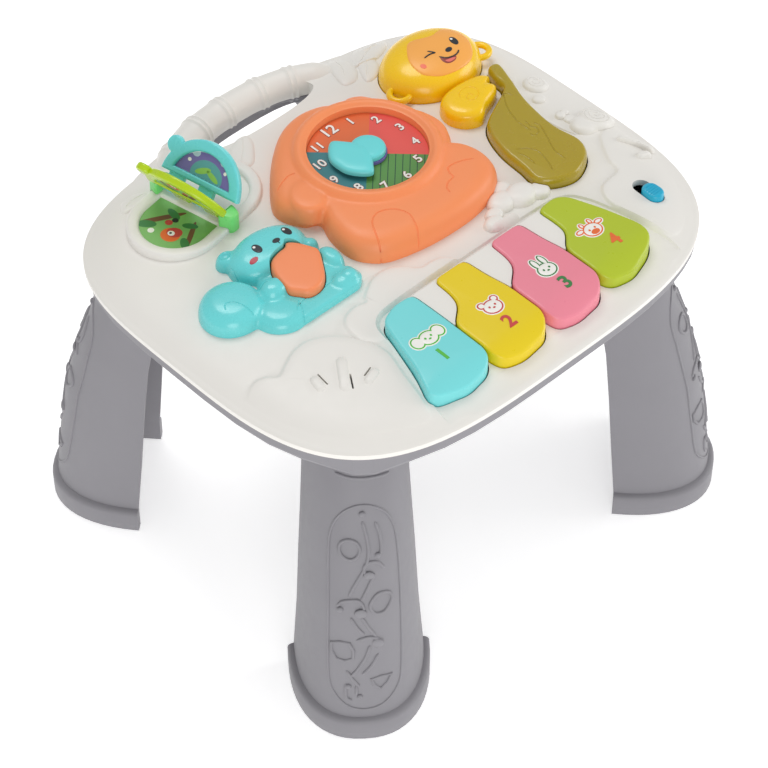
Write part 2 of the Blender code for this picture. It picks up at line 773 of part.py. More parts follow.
def build_bottom_shell():
    shell = loft("bottom_shell", base_rings(False), parts)
    inside = as_tool(loft("base_inside", base_rings(True), tools))
    hand_wall = as_tool(prism("base_hand_wall", hand_outline(shell_wall, 2 * grip_radius + overrun),
                              underside_height - overrun, parting_height + 2 * overrun, tools))
    cut(inside, hand_wall)
    cut(shell, inside)
    opening = as_tool(prism("hand_opening_lower", hand_outline(), underside_height - 2 * overrun,
                            parting_height + overrun, tools))
    clear = as_tool(prism("grip_clearance", hand_outline(0.0, 4 * grip_radius), underside_height - 2 * overrun,
                          grip_clear_height, tools))
    cut(shell, opening, clear)
    points, swell = grip_path()
    grip = as_tool(tube("grip_lower", points, grip_radius, tools, swell))
    above = as_tool(box("grip_lower_trim", (-half_width, 0, parting_height - gap),
                        (half_width, 2 * grip_y, grip_height + 2 * grip_radius), tools))
    cut(grip, above)
    join(shell, grip)
    for i, place in enumerate(case_screw_places):
        post = as_tool(cylinder(f"post_{i + 1}", place, screw_post_radius, underside_height + shell_wall / 2,
                                screw_joint_height, tools, 10))
        join(shell, post)
    for name, place in (("nut", nut_centre), ("leaf", leaf_works_place()), ("head", head_centre)):
        post = as_tool(cylinder(f"{name}_post", place, works_post_radius, underside_height + shell_wall / 2,
                                works_post_top, tools))
        join(shell, post)
    light_post = as_tool(cylinder("leaf_light_post", leaf_light_place(), 2 * leaf_light_radius,
                                  underside_height + shell_wall / 2, leaf_light_bottom() - gap, tools))
    join(shell, light_post)
    for i, (x, y) in enumerate(board_post_places()):
        post = as_tool(cylinder(f"board_post_{i + 1}", (x, y), key_board_post_radius,
                                underside_height + shell_wall / 2, key_board_height - gap, tools, 8))
        join(shell, post)
    for i, x in enumerate(key_rod_ends()):
        inward = key_rod_post_size if i == 0 else -key_rod_post_size
        post = as_tool(box(f"rod_post_{i + 1}",
                           (min(x, x + inward), key_rod_y - key_rod_post_size / 2,
                            underside_height + shell_wall / 2),
                           (max(x, x + inward), key_rod_y + key_rod_post_size / 2,
                            key_rod_height - key_rod_radius - gap), tools))
        join(shell, post)
    for i, place in enumerate(case_screw_places):
        seat = underside_height + screw_sink
        sink = as_tool(cylinder(f"screw_sink_{i + 1}", place, screw_head_radius + gap,
                                underside_height - overrun, seat, tools))
        hole = as_tool(cylinder(f"screw_hole_{i + 1}", place, screw_shaft_radius + gap, seat - overrun / 2,
                                screw_joint_height + overrun, tools, 8))
        cut(shell, sink, hole)
    low, high = battery_door_edges(gap)
    bay = as_tool(box("battery_bay_cut", (*low, underside_height - overrun),
                      (*high, underside_height + shell_wall + overrun / 2), tools))
    cut(shell, bay)
    for sign_x, sign_y, name in leg_corners:
        slot = as_tool(build_leg_solid(f"{name}_slot", sign_x, sign_y, gap, tools))
        cut(shell, slot)
    return finish(shell, make_material("grey_shell", grey, 0.5))


# Legs
leg_corners = ((-1, -1, "leg_front_left"), (1, -1, "leg_front_right"), (-1, 1, "leg_back_left"),
               (1, 1, "leg_back_right"))


def leg_ring(sign_x, sign_y, z, lean, depth, half, inner_depth, inner_half, extra):
    """One U-shaped section of a leg. The extra makes the same section a cutter with clearance."""
    outline = []
    for walk, deep, wide, grow in ((1, depth, half, extra), (-1, inner_depth, inner_half, -extra)):
        for i in range(leg_arc_segments + 1):
            t = walk * math.pi * (i / leg_arc_segments - 0.5)
            c, s = max(0.0, math.cos(t)), math.sin(t)
            out = (deep + grow + extra) * c ** (2 / leg_squareness) - extra
            side = math.copysign((wide + grow) * abs(s) ** (2 / leg_squareness), s)
            outline.append((out, side))
    c, s = math.cos(leg_direction), math.sin(leg_direction)
    leg_y = leg_front_y if sign_y < 0 else leg_back_y
    return [Vector((sign_x * (leg_x + (out - lean) * c - side * s), sign_y * (leg_y + (out - lean) * s + side * c),
                    z)) for out, side in outline]


def build_leg_solid(name, sign_x, sign_y, extra, collection):
    inner_depth, inner_half = leg_depth - leg_wall, leg_half_width - leg_wall
    rings = []
    for z, grow in ((0.0, foot_overhang), (foot_height - foot_round, foot_overhang),
                    (foot_height, foot_overhang / 3), (foot_height + gap, 0.0)):
        rings.append(leg_ring(sign_x, sign_y, z, 0.0, leg_depth + grow, leg_half_width + grow, inner_depth,
                              inner_half, extra))
    for height_share, lean_share, depth_share, half_share in leg_level_shares:
        depth, half = leg_depth * depth_share, leg_half_width * half_share
        rings.append(leg_ring(sign_x, sign_y, leg_height * height_share, leg_lean * lean_share, depth, half,
                              depth - leg_wall, half - leg_wall, extra))
    return loft(name, rings, collection)


def build_legs(material):
    for sign_x, sign_y, name in leg_corners:
        finish(build_leg_solid(name, sign_x, sign_y, 0.0, parts), material)


# Piano keys
def key_outline(number, grow):
    left = key_first_x + key_pitch * number
    points = [(left + sx * key_pitch, key_back_y + sy * key_length) for sx, sy in key_outline_shares[number]]
    return offset_outline(round_corners(points, key_corner, 1), grow)


def key_arm_x(number):
    return key_first_x + key_pitch * (number + key_arm_x_shares[number])


def key_rod_ends():
    first = key_arm_x(0) - key_arm_width / 2 - key_rod_overhang
    last = key_arm_x(3) + key_arm_width / 2 + key_rod_overhang
    return first, last


def board_post_places():
    half_x = key_board_size[0] / 2 - key_board_post_inset
    half_y = key_board_size[1] / 2 - key_board_post_inset
    return [(key_board_centre[0] + sx * half_x, key_board_centre[1] + sy * half_y)
            for sx in (-1, 1) for sy in (-1, 1)]


def build_keys():
    pivot = Vector((0.0, key_rod_y, key_rod_height))
    for number, colour in enumerate(key_colours):
        name = f"key_{number + 1}"
        left = key_first_x + key_pitch * number
        centre = (left + key_centre_shares[number][0] * key_pitch,
                  key_back_y + key_centre_shares[number][1] * key_length)
        outline = key_outline(number, -key_gap / 2)
        key = domed(name, outline, centre, key_bottom, key_height, key_profile_shares, parts)
        hollow = as_tool(prism(f"{name}_hollow", scaled(outline, centre, key_wall_share), key_bottom - overrun,
                               key_bottom + key_height - key_ceiling, tools))
        x = key_arm_x(number)
        arm = as_tool(box(f"{name}_arm",
                          (x - key_arm_width / 2, key_back_y - 2 * shell_wall, key_rod_height - key_arm_height / 2),
                          (x + key_arm_width / 2, key_rod_y + key_arm_tail, key_rod_height + key_arm_height / 2),
                          tools))
        post = as_tool(box(f"{name}_post",
                           (x - key_post_size / 2, key_post_y - key_post_size / 2, key_bottom - key_post_drop),
                           (x + key_post_size / 2, key_post_y + key_post_size / 2,
                            key_bottom + key_height - key_ceiling / 2),
                           tools))
        bore = as_tool(rod(f"{name}_bore", (x - key_arm_width, key_rod_y, key_rod_height),
                           (x + key_arm_width, key_rod_y, key_rod_height), key_rod_radius + gap, tools))
        cut(key, hollow)
        join(key, arm, post)
        cut(key, bore)
        finish(key, make_material(f"{name}_plastic", colour, 0.3))
    first, last = key_rod_ends()
    axle = rod("key_pivot_rod", (first, pivot.y, pivot.z), (last, pivot.y, pivot.z), key_rod_radius, parts)
    finish(axle, make_material("rod_steel", steel, 0.3, 1.0))
    cx, cy = key_board_centre
    half_x, half_y, thick = key_board_size[0] / 2, key_board_size[1] / 2, key_board_size[2]
    board = box("key_board", (cx - half_x, cy - half_y, key_board_height),
                (cx + half_x, cy + half_y, key_board_height + thick), parts)
    finish(board, make_material("board", board_green, 0.5))
    strip_bottom = key_board_height + thick + gap
    strip = box("key_contact_strip",
                (cx - contact_strip_length / 2, key_post_y - contact_strip_width / 2, strip_bottom),
                (cx + contact_strip_length / 2, key_post_y + contact_strip_width / 2,
                 strip_bottom + contact_strip_thickness), parts)
    finish(strip, make_material("contact_rubber", dark, 0.8))


# Clock
def build_clock(on_deck):
    base = deck_top
    outline = smooth_outline(placed(housing_outline_shares, housing_centre, housing_half_size), 2)
    bottom = base - 2 * overrun
    rings = [at_height(outline, bottom)]
    rings += [at_height(scaled(outline, housing_centre, share), base + housing_height * rise)
              for share, rise in housing_profile_shares]
    housing = loft("clock_housing", rings, parts)
    top = base + housing_height
    ring_rings = [at_height(circle(dial_centre, ring_outer_radius * share, 40), top + ring_height * rise)
                  for share, rise in ring_profile_shares]
    dome = as_tool(loft("dial_ring", ring_rings, tools))
    join(housing, dome)
    well = as_tool(cylinder("dial_well", dial_centre, dial_radius + gap, dial_floor_height,
                            top + 2 * ring_height, tools, 40))
    ceiling = dial_floor_height - dial_floor
    inner = [at_height(scaled(outline, housing_centre, housing_inside_share), bottom - overrun),
             at_height(scaled(outline, housing_centre, housing_inside_share ** 2), ceiling)]
    hollow = as_tool(loft("housing_inside", inner, tools))
    hole = as_tool(cylinder("spindle_hole", dial_centre, spindle_radius + gap, ceiling - overrun,
                            dial_floor_height + overrun, tools))
    cut(housing, well, hollow, hole, on_deck)
    finish(housing, make_material("orange_housing", orange, 0.4))
    plate_bottom = dial_floor_height + gap
    plate = cylinder("dial_plate", dial_centre, dial_radius, plate_bottom, plate_bottom + dial_thickness, parts, 40)
    plate_hole = as_tool(cylinder("dial_plate_hole", dial_centre, spindle_radius + gap, plate_bottom - overrun,
                                  plate_bottom + overrun, tools))
    cut(plate, plate_hole)
    finish(plate, make_material("dial_print", (0.8, 0.2, 0.1), 0.4))
    disc_bottom = plate_bottom + dial_thickness + gap
    disc_top = disc_bottom + knob_disc_thickness
    disc = cylinder("knob_disc", dial_centre, knob_disc_radius, disc_bottom, disc_top, parts, 24)
    disc_hole = as_tool(cylinder("knob_disc_hole", dial_centre, spindle_radius + gap, disc_bottom - overrun,
                                 disc_top + overrun, tools))
    cut(disc, disc_hole)
    finish(disc, make_material("purple_disc", purple, 0.35))
    knob_bottom = disc_top + gap
    knob = domed("clock_knob", circle(dial_centre, knob_round_radius, 20), dial_centre, knob_bottom, knob_height,
                 knob_profile_shares, parts)
    leaf_centre_point = (dial_centre[0] + knob_leaf_x, dial_centre[1])
    leaf_outline = smooth_outline(placed(knob_leaf_shares, leaf_centre_point, knob_leaf_half_size), 2)
    leaf = as_tool(domed("knob_leaf", leaf_outline, leaf_centre_point, knob_bottom + gap, knob_height,
                         knob_profile_shares, tools))
    spindle = as_tool(cylinder("spindle", dial_centre, spindle_radius, knob_bottom + overrun / 2 - spindle_length,
                               knob_bottom + overrun / 2, tools))
    join(knob, leaf, spindle)
    finish(knob, make_material("cyan_knob", cyan, 0.3))
    nut_top = ceiling - gap
    nut = cylinder("knob_spindle_nut", dial_centre, spindle_nut_radius, nut_top - spindle_nut_thickness, nut_top,
                   parts)
    nut_hole = as_tool(cylinder("spindle_nut_hole", dial_centre, spindle_radius + gap,
                                nut_top - 2 * spindle_nut_thickness, nut_top + overrun, tools))
    cut(nut, nut_hole)
    finish(nut, make_material("nut_steel", steel, 0.35, 1.0))


# Buttons and what lies under them
def leaf_works_place():
    return tuple(placed([leaf_works_place_shares], leaf_centre, leaf_half_size)[0])


def leaf_light_place():
    return tuple(placed([leaf_light_place_shares], leaf_centre, leaf_half_size)[0])


def leaf_light_bottom():
    return button_bottom - leaf_light_height


def nut_outline():
    return smooth_outline(placed(nut_outline_shares, nut_centre, nut_half_size), 2)


def leaf_outline():
    return smooth_outline(placed(leaf_outline_shares, leaf_centre, leaf_half_size), 2)


def head_outline():
    return ellipse(head_centre, head_half_size, 32, head_turn)


def build_button(name, outline, centre, height, profile_shares, works_place, colour):
    """A domed cap with a hollow underneath and a stem over its push switch."""
    cap = domed(name, outline, centre, button_bottom, height, profile_shares, parts)
    inner_height = height - shell_wall
    hollow_rings = [(button_wall_share, -overrun / inner_height)]
    hollow_rings += [(share * button_wall_share, rise) for share, rise in profile_shares[1:]]
    hollow = as_tool(domed(f"{name}_hollow", outline, centre, button_bottom, inner_height, hollow_rings, tools))
    switch_top = works_post_top + gap + works_switch_height
    column_top = button_bottom + height - shell_wall / 2
    stem = as_tool(cylinder(f"{name}_stem", works_place, works_stem_radius, switch_top + button_travel + gap,
                            column_top, tools, 12))
    plate = as_tool(cylinder(f"{name}_spring_seat", works_place, works_spring_radius + 4 * works_spring_wire,
                             button_bottom, column_top, tools))
    cut(cap, hollow)
    join(cap, plate, stem)
    return finish(cap, make_material(f"{name}_plastic", colour, 0.3))


def build_works(name, place):
    """The push switch and return spring that stand on a post under a button."""
    seat = works_post_top + gap
    switch = cylinder(f"{name}_switch", place, works_switch_radius, seat, seat + works_switch_height, parts, 16)
    finish(switch, make_material(f"{name}_switch_plastic", dark, 0.5))
    low = seat + works_spring_wire
    high = button_bottom - gap - works_spring_wire
    count = works_spring_turns * works_spring_points
    points = []
    for i in range(count + 1):
        angle = 2 * math.pi * i / works_spring_points
        z = low + (high - low) * i / count
        points.append((place[0] + works_spring_radius * math.cos(angle),
                       place[1] + works_spring_radius * math.sin(angle), z))
    coil = tube(f"{name}_spring", points, works_spring_wire, parts, resolution=0)
    finish(coil, make_material(f"{name}_spring_steel", steel, 0.3, 1.0))


def build_squirrel(on_deck):
    base = deck_top
    sunk = squirrel_height * squirrel_sunk_share
    body = None
    for i, (sx, sy, rx, ry, rise) in enumerate(squirrel_lobe_shares):
        centre = (squirrel_centre[0] + sx * squirrel_half_width, squirrel_centre[1] + sy * squirrel_half_width,
                  base - sunk)
        radii = (rx * squirrel_half_width, ry * squirrel_half_width, squirrel_height * rise + sunk)
        if body is None:
            body = ellipsoid("squirrel_body", centre, radii, parts)
        else:
            join(body, as_tool(ellipsoid(f"squirrel_lobe_{i}", centre, radii, tools)))
    hole = as_tool(prism("squirrel_nut_hole", offset_outline(nut_outline(), slide_gap), button_bottom - overrun,
                         base + 2 * squirrel_height, tools))
    cut(body, hole, on_deck)
    finish(body, make_material("cyan_squirrel", cyan, 0.3), math.radians(50.0))
    build_button("nut_button", nut_outline(), nut_centre, nut_height, nut_profile_shares, nut_centre, orange)
    build_works("nut", nut_centre)


def build_leaf():
    build_button("leaf_button", leaf_outline(), leaf_centre, leaf_height, leaf_profile_shares, leaf_works_place(),
                 olive)
    build_works("leaf", leaf_works_place())
    light = cylinder("leaf_light", leaf_light_place(), leaf_light_radius, leaf_light_bottom(),
                     button_bottom - gap, parts, 16)
    finish(light, make_material("lamp", (0.9, 0.9, 0.85), 0.2))


def build_monkey(on_deck):
    head = build_button("monkey_head", head_outline(), head_centre, head_height, head_profile_shares, head_centre,
                        yellow)
    for i, (sx, sy) in enumerate(ear_centre_shares):
        x, y = placed([(sx, sy)], head_centre, head_half_size, head_turn)[0]
        z = button_bottom + head_height * ear_height_share
        points = [(*point, z) for point in circle((x, y), ear_radius, 12)]
        join(head, as_tool(build_ear(f"ear_{i + 1}", points)))
    c, s = math.cos(head_turn), math.sin(head_turn)
    face_centre = (head_centre[0] + face_offset[0] * c - face_offset[1] * s,
                   head_centre[1] + face_offset[0] * s + face_offset[1] * c)
    floor = button_bottom + head_height * face_depth_share
    top = button_bottom + 2 * head_height
    pocket = as_tool(prism("face_pocket", ellipse(face_centre, (face_half_size[0] + gap, face_half_size[1] + gap),
                                                  32, head_turn), floor, top, tools))
    backing = as_tool(prism("face_backing", ellipse(face_centre, (face_half_size[0] + shell_wall,
                                                                  face_half_size[1] + shell_wall), 32, head_turn),
                            floor - shell_wall, floor + shell_wall, tools))
    join(head, backing)
    cut(head, pocket)
    face = prism("monkey_face", ellipse(face_centre, face_half_size, 32, head_turn), floor + gap, top, parts)
    skin = as_tool(domed("face_skin", head_outline(), head_centre, button_bottom + face_proud, head_height,
                         head_profile_shares, tools))
    combine(face, skin, 'INTERSECT')
    finish(face, make_material("face_plastic", face_orange, 0.35))
    build_works("head", head_centre)
    base = deck_top
    arm_outline = smooth_outline(placed(arm_outline_shares, arm_centre, arm_half_size), 2)
    arm = domed("monkey_arm", arm_outline, arm_centre, base, arm_height, arm_profile_shares, parts)
    cut(arm, on_deck)
    finish(arm, make_material("yellow_arm", yellow, 0.3))


def build_ear(name, points):
    """A ring-shaped ear: a round section carried along a closed run of points."""
    centre = sum((Vector(p) for p in points), Vector()) / len(points)
    bm = bmesh.new()
    sides = 6
    loops = []
    for point in points:
        outward = (Vector(point) - centre).normalized()
        loop = []
        for k in range(sides):
            angle = 2 * math.pi * k / sides
            offset = outward * math.cos(angle) * ear_wire + Vector((0, 0, math.sin(angle) * ear_wire))
            loop.append(bm.verts.new(Vector(point) + offset))
        loops.append(loop)
    for loop, following in zip(loops, loops[1:] + loops[:1]):
        for k in range(sides):
            j = (k + 1) % sides
            bm.faces.new((loop[k], loop[j], following[j], following[k]))
    return new_object(name, bm, tools)


# Book corner
hinge_height = book_ring_top + 2 * gap + page_thickness + gap


def page_outline(radius, root):
    """A page's round end, cut off straight near the hinge."""
    count = 28
    start = math.asin((root - page_centre_height) / radius)
    sweep = math.pi - 2 * start
    angles = [start + sweep * i / count for i in range(count + 1)]
    return [(radius * math.cos(a), page_centre_height + radius * math.sin(a)) for a in angles]


def build_page(name, side, lean, colour, spans):
    """One page in its own frame: hinge along Y at the origin, the page standing up along Z."""
    near = side * gap
    far = side * (gap + page_thickness)
    low, high = min(near, far), max(near, far)
    disc = page_outline(page_radius, page_root)
    page = loft(name, [[Vector((low, y, z)) for y, z in disc], [Vector((high, y, z)) for y, z in disc]], parts)
    ear = as_tool(rod(f"{name}_ear", (low + page_seam, *page_ear_place), (high - page_seam, *page_ear_place),
                      page_ear_radius, tools, 12))
    join(page, ear)
    window = page_outline(page_hole_radius, page_hole_root)
    hole = as_tool(loft(f"{name}_hole", [[Vector((low - overrun, y, z)) for y, z in window],
                                         [Vector((high + overrun, y, z)) for y, z in window]], tools))
    for i, (start, end) in enumerate(spans):
        neck = as_tool(box(f"{name}_neck_{i}", (low + page_seam, start + page_seam, 0.0),
                           (high - page_seam, end - page_seam, page_root + page_thickness / 2), tools))
        knuckle = as_tool(rod(f"{name}_knuckle_{i}", (0, start, 0), (0, end, 0), knuckle_radius, tools))
        join(page, neck, knuckle)
    bore = as_tool(rod(f"{name}_bore", (0, -knuckle_span, 0), (0, knuckle_span, 0), page_pin_radius + gap, tools))
    cut(page, hole, bore)
    finish(page, make_material(f"{name}_plastic", colour, 0.25))
    middle = (low + high) / 2
    half = page_picture_thickness / 2
    sheet = page_outline(page_hole_radius - gap, page_hole_root + gap)
    picture = loft(f"{name}_picture", [[Vector((middle - half, y, z)) for y, z in sheet],
                                       [Vector((middle + half, y, z)) for y, z in sheet]], parts)
    finish(picture, make_material(f"{name}_print", purple, 0.3))
    for thing in [page, picture] + [m.object for m in page.modifiers if m.type == 'BOOLEAN']:
        thing.location = book_point(0, 0, hinge_height)
        thing.rotation_euler = (0.0, lean, book_turn)


def build_book(on_deck):
    length = knuckle_span / knuckle_count
    spans = [(-knuckle_span / 2 + length * k + slide_gap / 2, -knuckle_span / 2 + length * (k + 1) - slide_gap / 2)
             for k in range(knuckle_count)]
    build_page("page_lime", -1, page_lean_lime, lime, spans[0::2])
    build_page("page_cyan", 1, page_lean_cyan, cyan, spans[1::2])
    inner = knuckle_span / 2 + slide_gap
    outer = inner + book_block_length
    pin_end = outer - 2 * gap - page_pin_radius
    block_material = make_material("book_block", hinge_green, 0.3)
    for name, sign in (("book_block_front", -1), ("book_block_rear", 1)):
        near, away = sign * inner, sign * outer
        half = book_block_half_width
        corners = [book_point(-half, near)[:2], book_point(half, near)[:2], book_point(half / 2, away)[:2],
                   book_point(-half / 2, away)[:2]]
        outline = round_corners(corners, half / 3)
        top = hinge_height + book_block_rise
        block = prism(name, outline, skirt_top, top, parts)
        round_top(block, book_block_rise / 3, hinge_height)
        bore = as_tool(rod(f"{name}_bore", book_point(0, 0, hinge_height),
                           book_point(0, sign * (pin_end + gap), hinge_height), page_pin_radius + gap, tools))
        ring_copy = as_tool(build_ring_clearance(name))
        cut(block, bore, on_deck, ring_copy)
        finish(block, block_material)
    pin = rod("book_hinge_pin", book_point(0, -pin_end, hinge_height), book_point(0, pin_end, hinge_height),
              page_pin_radius, parts)
    finish(pin, make_material("pin_steel", steel, 0.3, 1.0))
    outline = book_lobe(-1, book_ring_inner - gap, book_bar_half_width + gap)
    picture = prism("book_picture", outline, parting_height, book_picture_top, parts)
    cut(picture, on_deck)
    finish(picture, make_material("book_print", green, 0.3))


def build_ring_clearance(name):
    """The book ring grown by the gap, so that a hinge block stands beside it."""
    outline = book_lobe(1, book_ring_outer + gap, 0) + book_lobe(-1, book_ring_outer + gap, 0)
    return prism(f"{name}_ring_space", outline, parting_height, book_ring_top + gap, tools)


# Slide switch, speaker
def slider_rest():
    slot_half = (slider_size[1] + slider_travel) / 2
    return switch_centre[0], switch_centre[1] - slot_half + slider_size[1] / 2


def build_switch(under_deck):
    x, y = slider_rest()
    half_x, half_y = slider_size[0] / 2, slider_size[1] / 2
    outline = round_corners([(x - half_x, y - half_y), (x + half_x, y - half_y), (x + half_x, y + half_y),
                             (x - half_x, y + half_y)], half_x / 2)
    slider = prism("switch_slider", outline, slider_bottom, slider_top, parts)
    round_top(slider, slider_round, (slider_bottom + slider_top) / 2)
    flange = as_tool(box("slider_flange", (x - half_x - slider_flange, y - half_y - slider_flange, slider_bottom),
                         (x + half_x + slider_flange, y + half_y + slider_flange,
                          slider_bottom + slider_flange_thickness), tools))
    join(slider, flange)
    finish(slider, make_material("blue_slider", blue, 0.3))
    reach_x = half_x + slider_flange + slide_gap
    reach_y = half_y + slider_travel / 2 + slider_flange
    top = slider_bottom - gap
    bottom = top - switch_body_height
    body = box("switch_body", (switch_centre[0] - reach_x - switch_ear_width, switch_centre[1] - reach_y, bottom),
               (switch_centre[0] + reach_x + switch_ear_width, switch_centre[1] + reach_y,
                deck_top), parts)
    channel = as_tool(box("switch_channel", (switch_centre[0] - reach_x, switch_centre[1] - 2 * reach_y, top),
                          (switch_centre[0] + reach_x, switch_centre[1] + 2 * reach_y,
                           deck_top + overrun), tools))
    cut(body, channel)
    combine(body, under_deck, 'INTERSECT')
    finish(body, make_material("switch_body_plastic", dark, 0.5))


def build_speaker(under_deck):
    speaker = cylinder("speaker", speaker_centre, speaker_radius, speaker_frame_bottom, deck_top,
                       parts, 24)
    magnet = as_tool(cylinder("speaker_magnet", speaker_centre, speaker_magnet_radius, speaker_magnet_bottom,
                              speaker_frame_bottom + overrun / 2, tools, 16))
    join(speaker, magnet)
    combine(speaker, under_deck, 'INTERSECT')
    finish(speaker, make_material("speaker_black", dark, 0.6))


# Battery compartment
def battery_cavity():
    half_x = battery_pitch * (battery_count - 1) / 2 + battery_radius + gap
    half_y = battery_length / 2 + contact_thickness + 2 * gap
    return half_x, half_y


def battery_door_edges(grow=0.0):
    half_x, half_y = battery_cavity()
    x, y = battery_bay_centre
    low = (x - half_x - gap - grow, y - half_y - gap - grow)
    high = (x + half_x + gap + grow, y + half_y + battery_door_tail + grow)
    return low, high


def battery_screw_place():
    return battery_bay_centre[0], battery_door_edges()[1][1] - battery_door_tail / 2


def build_batteries():
    half_x, half_y = battery_cavity()
    x, y = battery_bay_centre
    low, high = battery_door_edges()
    door = box("battery_door", (*low, underside_height), (*high, underside_height + battery_door_thickness), parts)
    place = battery_screw_place()
    seat = underside_height + screw_head_height / 2 + 2 * gap
    sink = as_tool(cylinder("door_screw_sink", place, screw_head_radius + gap, underside_height - overrun, seat,
                            tools))
    hole = as_tool(cylinder("door_screw_hole", place, screw_shaft_radius + gap, underside_height - overrun,
                            underside_height + 2 * overrun, tools, 12))
    cut(door, sink, hole)
    finish(door, make_material("door_grey", grey, 0.5))
    floor = underside_height + shell_wall + gap
    ceiling = floor + 2 * battery_radius + gap + battery_door_thickness
    case = box("battery_box", (low[0] - battery_wall, low[1] - battery_wall, floor),
               (high[0] + battery_wall, high[1] + battery_wall, ceiling + battery_ceiling), parts)
    cavity = as_tool(box("battery_cavity", (x - half_x, y - half_y, floor - overrun), (x + half_x, y + half_y, ceiling),
                         tools))
    shaft_top = floor + 3 * overrun
    thread = as_tool(cylinder("door_screw_thread", place, screw_shaft_radius + gap, floor - overrun,
                              shaft_top + gap, tools, 12))
    cut(case, cavity, thread)
    finish(case, make_material("battery_box_plastic", dark, 0.5))
    build_screw("battery_door_screw", place, seat - gap - screw_head_height / 2, shaft_top, screw_head_height / 2)
    z = ceiling - gap - battery_radius
    for i in range(battery_count):
        cell_x = x + battery_pitch * (i - (battery_count - 1) / 2)
        cell = rod(f"battery_{i + 1}", (cell_x, y - battery_length / 2, z), (cell_x, y + battery_length / 2, z),
                   battery_radius, parts, 16)
        finish(cell, make_material(f"battery_{i + 1}_wrap", (0.05, 0.05, 0.06), 0.3))
    for name, sign in (("contact_plate_front", -1), ("contact_plate_rear", 1)):
        near = y + sign * (battery_length / 2 + gap)
        far = near + sign * contact_thickness
        plate = box(name, (x - half_x + gap, min(near, far), z - contact_height / 2),
                    (x + half_x - gap, max(near, far), z + contact_height / 2), parts)
        finish(plate, make_material(f"{name}_steel", steel, 0.3, 1.0))


def build_screw(name, place, bottom, top, head_height=screw_head_height):
    screw = cylinder(name, place, screw_head_radius, bottom, bottom + head_height, parts)
    shaft = as_tool(cylinder(f"{name}_shaft", place, screw_shaft_radius, bottom + head_height / 2, top, tools, 8))
    join(screw, shaft)
    finish(screw, make_material(f"{name}_steel", steel, 0.3, 1.0))


def build_case_screws():
    for i, place in enumerate(case_screw_places):
        seat = underside_height + screw_sink - gap
        build_screw(f"case_screw_{i + 1}", place, seat - screw_head_height,
                    deck_height(*place) - 2 * shell_wall - gap)


def build_deck_cutters():
    """Everything that passes through the deck, each a prism with its clearance."""
    bottom, top = parting_height - overrun, deck_top + overrun
    cutters = [prism(f"key_opening_{n + 1}", key_outline(n, key_gap / 2), bottom, top, tools) for n in range(4)]
    for name, outline in (("nut", nut_outline()), ("leaf", leaf_outline()), ("head", head_outline())):
        cutters.append(prism(f"{name}_opening", offset_outline(outline, slide_gap), bottom, top, tools))
    x, y = switch_centre
    half_x = slider_size[0] / 2 + slide_gap
    half_y = (slider_size[1] + slider_travel) / 2 + slide_gap
    cutters.append(box("switch_opening", (x - half_x, y - half_y, bottom), (x + half_x, y + half_y, top), tools))
    for i, ends in enumerate(sound_slot_shares):
        start, end = placed(ends, speaker_centre, (speaker_radius, speaker_radius))
        along = (Vector(end) - Vector(start)).normalized()
        across = Vector((-along.y, along.x)) * slot_width / 2
        corners = [Vector(start) + across, Vector(start) - across, Vector(end) - across, Vector(end) + across]
        cutters.append(prism(f"sound_slot_{i + 1}", round_corners([tuple(c) for c in corners], slot_width / 2),
                             bottom, top, tools))
    return [as_tool(cutter) for cutter in cutters]


def build_all():
    global parts, tools
    for thing in list(bpy.data.objects):
        bpy.data.objects.remove(thing)
    parts = new_collection("musical_activity_table")
    tools = new_collection("cutters")
    on_deck, under_deck = build_deck_trims()
    build_top_shell(build_deck_cutters())
    build_bottom_shell()
    build_legs(make_material("grey_leg", grey, 0.5))
    build_clock(on_deck)
    build_squirrel(on_deck)
    build_leaf()
    build_monkey(on_deck)
    build_book(on_deck)
    build_keys()
    build_switch(under_deck)
    build_speaker(under_deck)
    build_batteries()
    build_case_screws()


build_all()
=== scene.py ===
"""Musical activity table: the shown pieces and their finishes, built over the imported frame.

The object stands on the floor at z = 0. +X is its right, -Y the front edge with the piano keys, +Y the back edge
with the carrying handle. Lengths are metres; mm() turns the tables of millimetres into metres.
"""

import json
import logging
import math
from collections.abc import Callable, Iterator
from contextlib import contextmanager
from dataclasses import dataclass, field
from enum import Enum

import bmesh
import bpy
from mathutils import Matrix, Vector
from mathutils.bvhtree import BVHTree

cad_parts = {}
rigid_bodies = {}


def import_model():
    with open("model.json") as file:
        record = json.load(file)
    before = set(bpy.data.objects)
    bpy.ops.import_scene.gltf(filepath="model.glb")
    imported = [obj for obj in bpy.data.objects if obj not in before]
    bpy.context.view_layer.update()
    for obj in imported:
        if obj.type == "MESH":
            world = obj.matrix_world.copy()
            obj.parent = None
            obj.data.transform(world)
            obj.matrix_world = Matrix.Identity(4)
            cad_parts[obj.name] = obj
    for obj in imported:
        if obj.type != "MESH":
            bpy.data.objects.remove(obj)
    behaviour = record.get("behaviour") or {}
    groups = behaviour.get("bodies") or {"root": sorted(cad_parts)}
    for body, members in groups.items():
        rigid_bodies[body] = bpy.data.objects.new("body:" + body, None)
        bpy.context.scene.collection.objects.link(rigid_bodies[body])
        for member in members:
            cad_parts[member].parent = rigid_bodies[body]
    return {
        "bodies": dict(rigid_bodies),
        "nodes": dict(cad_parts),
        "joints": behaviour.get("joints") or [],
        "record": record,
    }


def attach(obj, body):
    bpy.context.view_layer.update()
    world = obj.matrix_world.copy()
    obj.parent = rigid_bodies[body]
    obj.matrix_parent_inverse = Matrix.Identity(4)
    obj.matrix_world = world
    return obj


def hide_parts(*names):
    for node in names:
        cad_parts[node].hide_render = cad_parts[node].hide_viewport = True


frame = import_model()

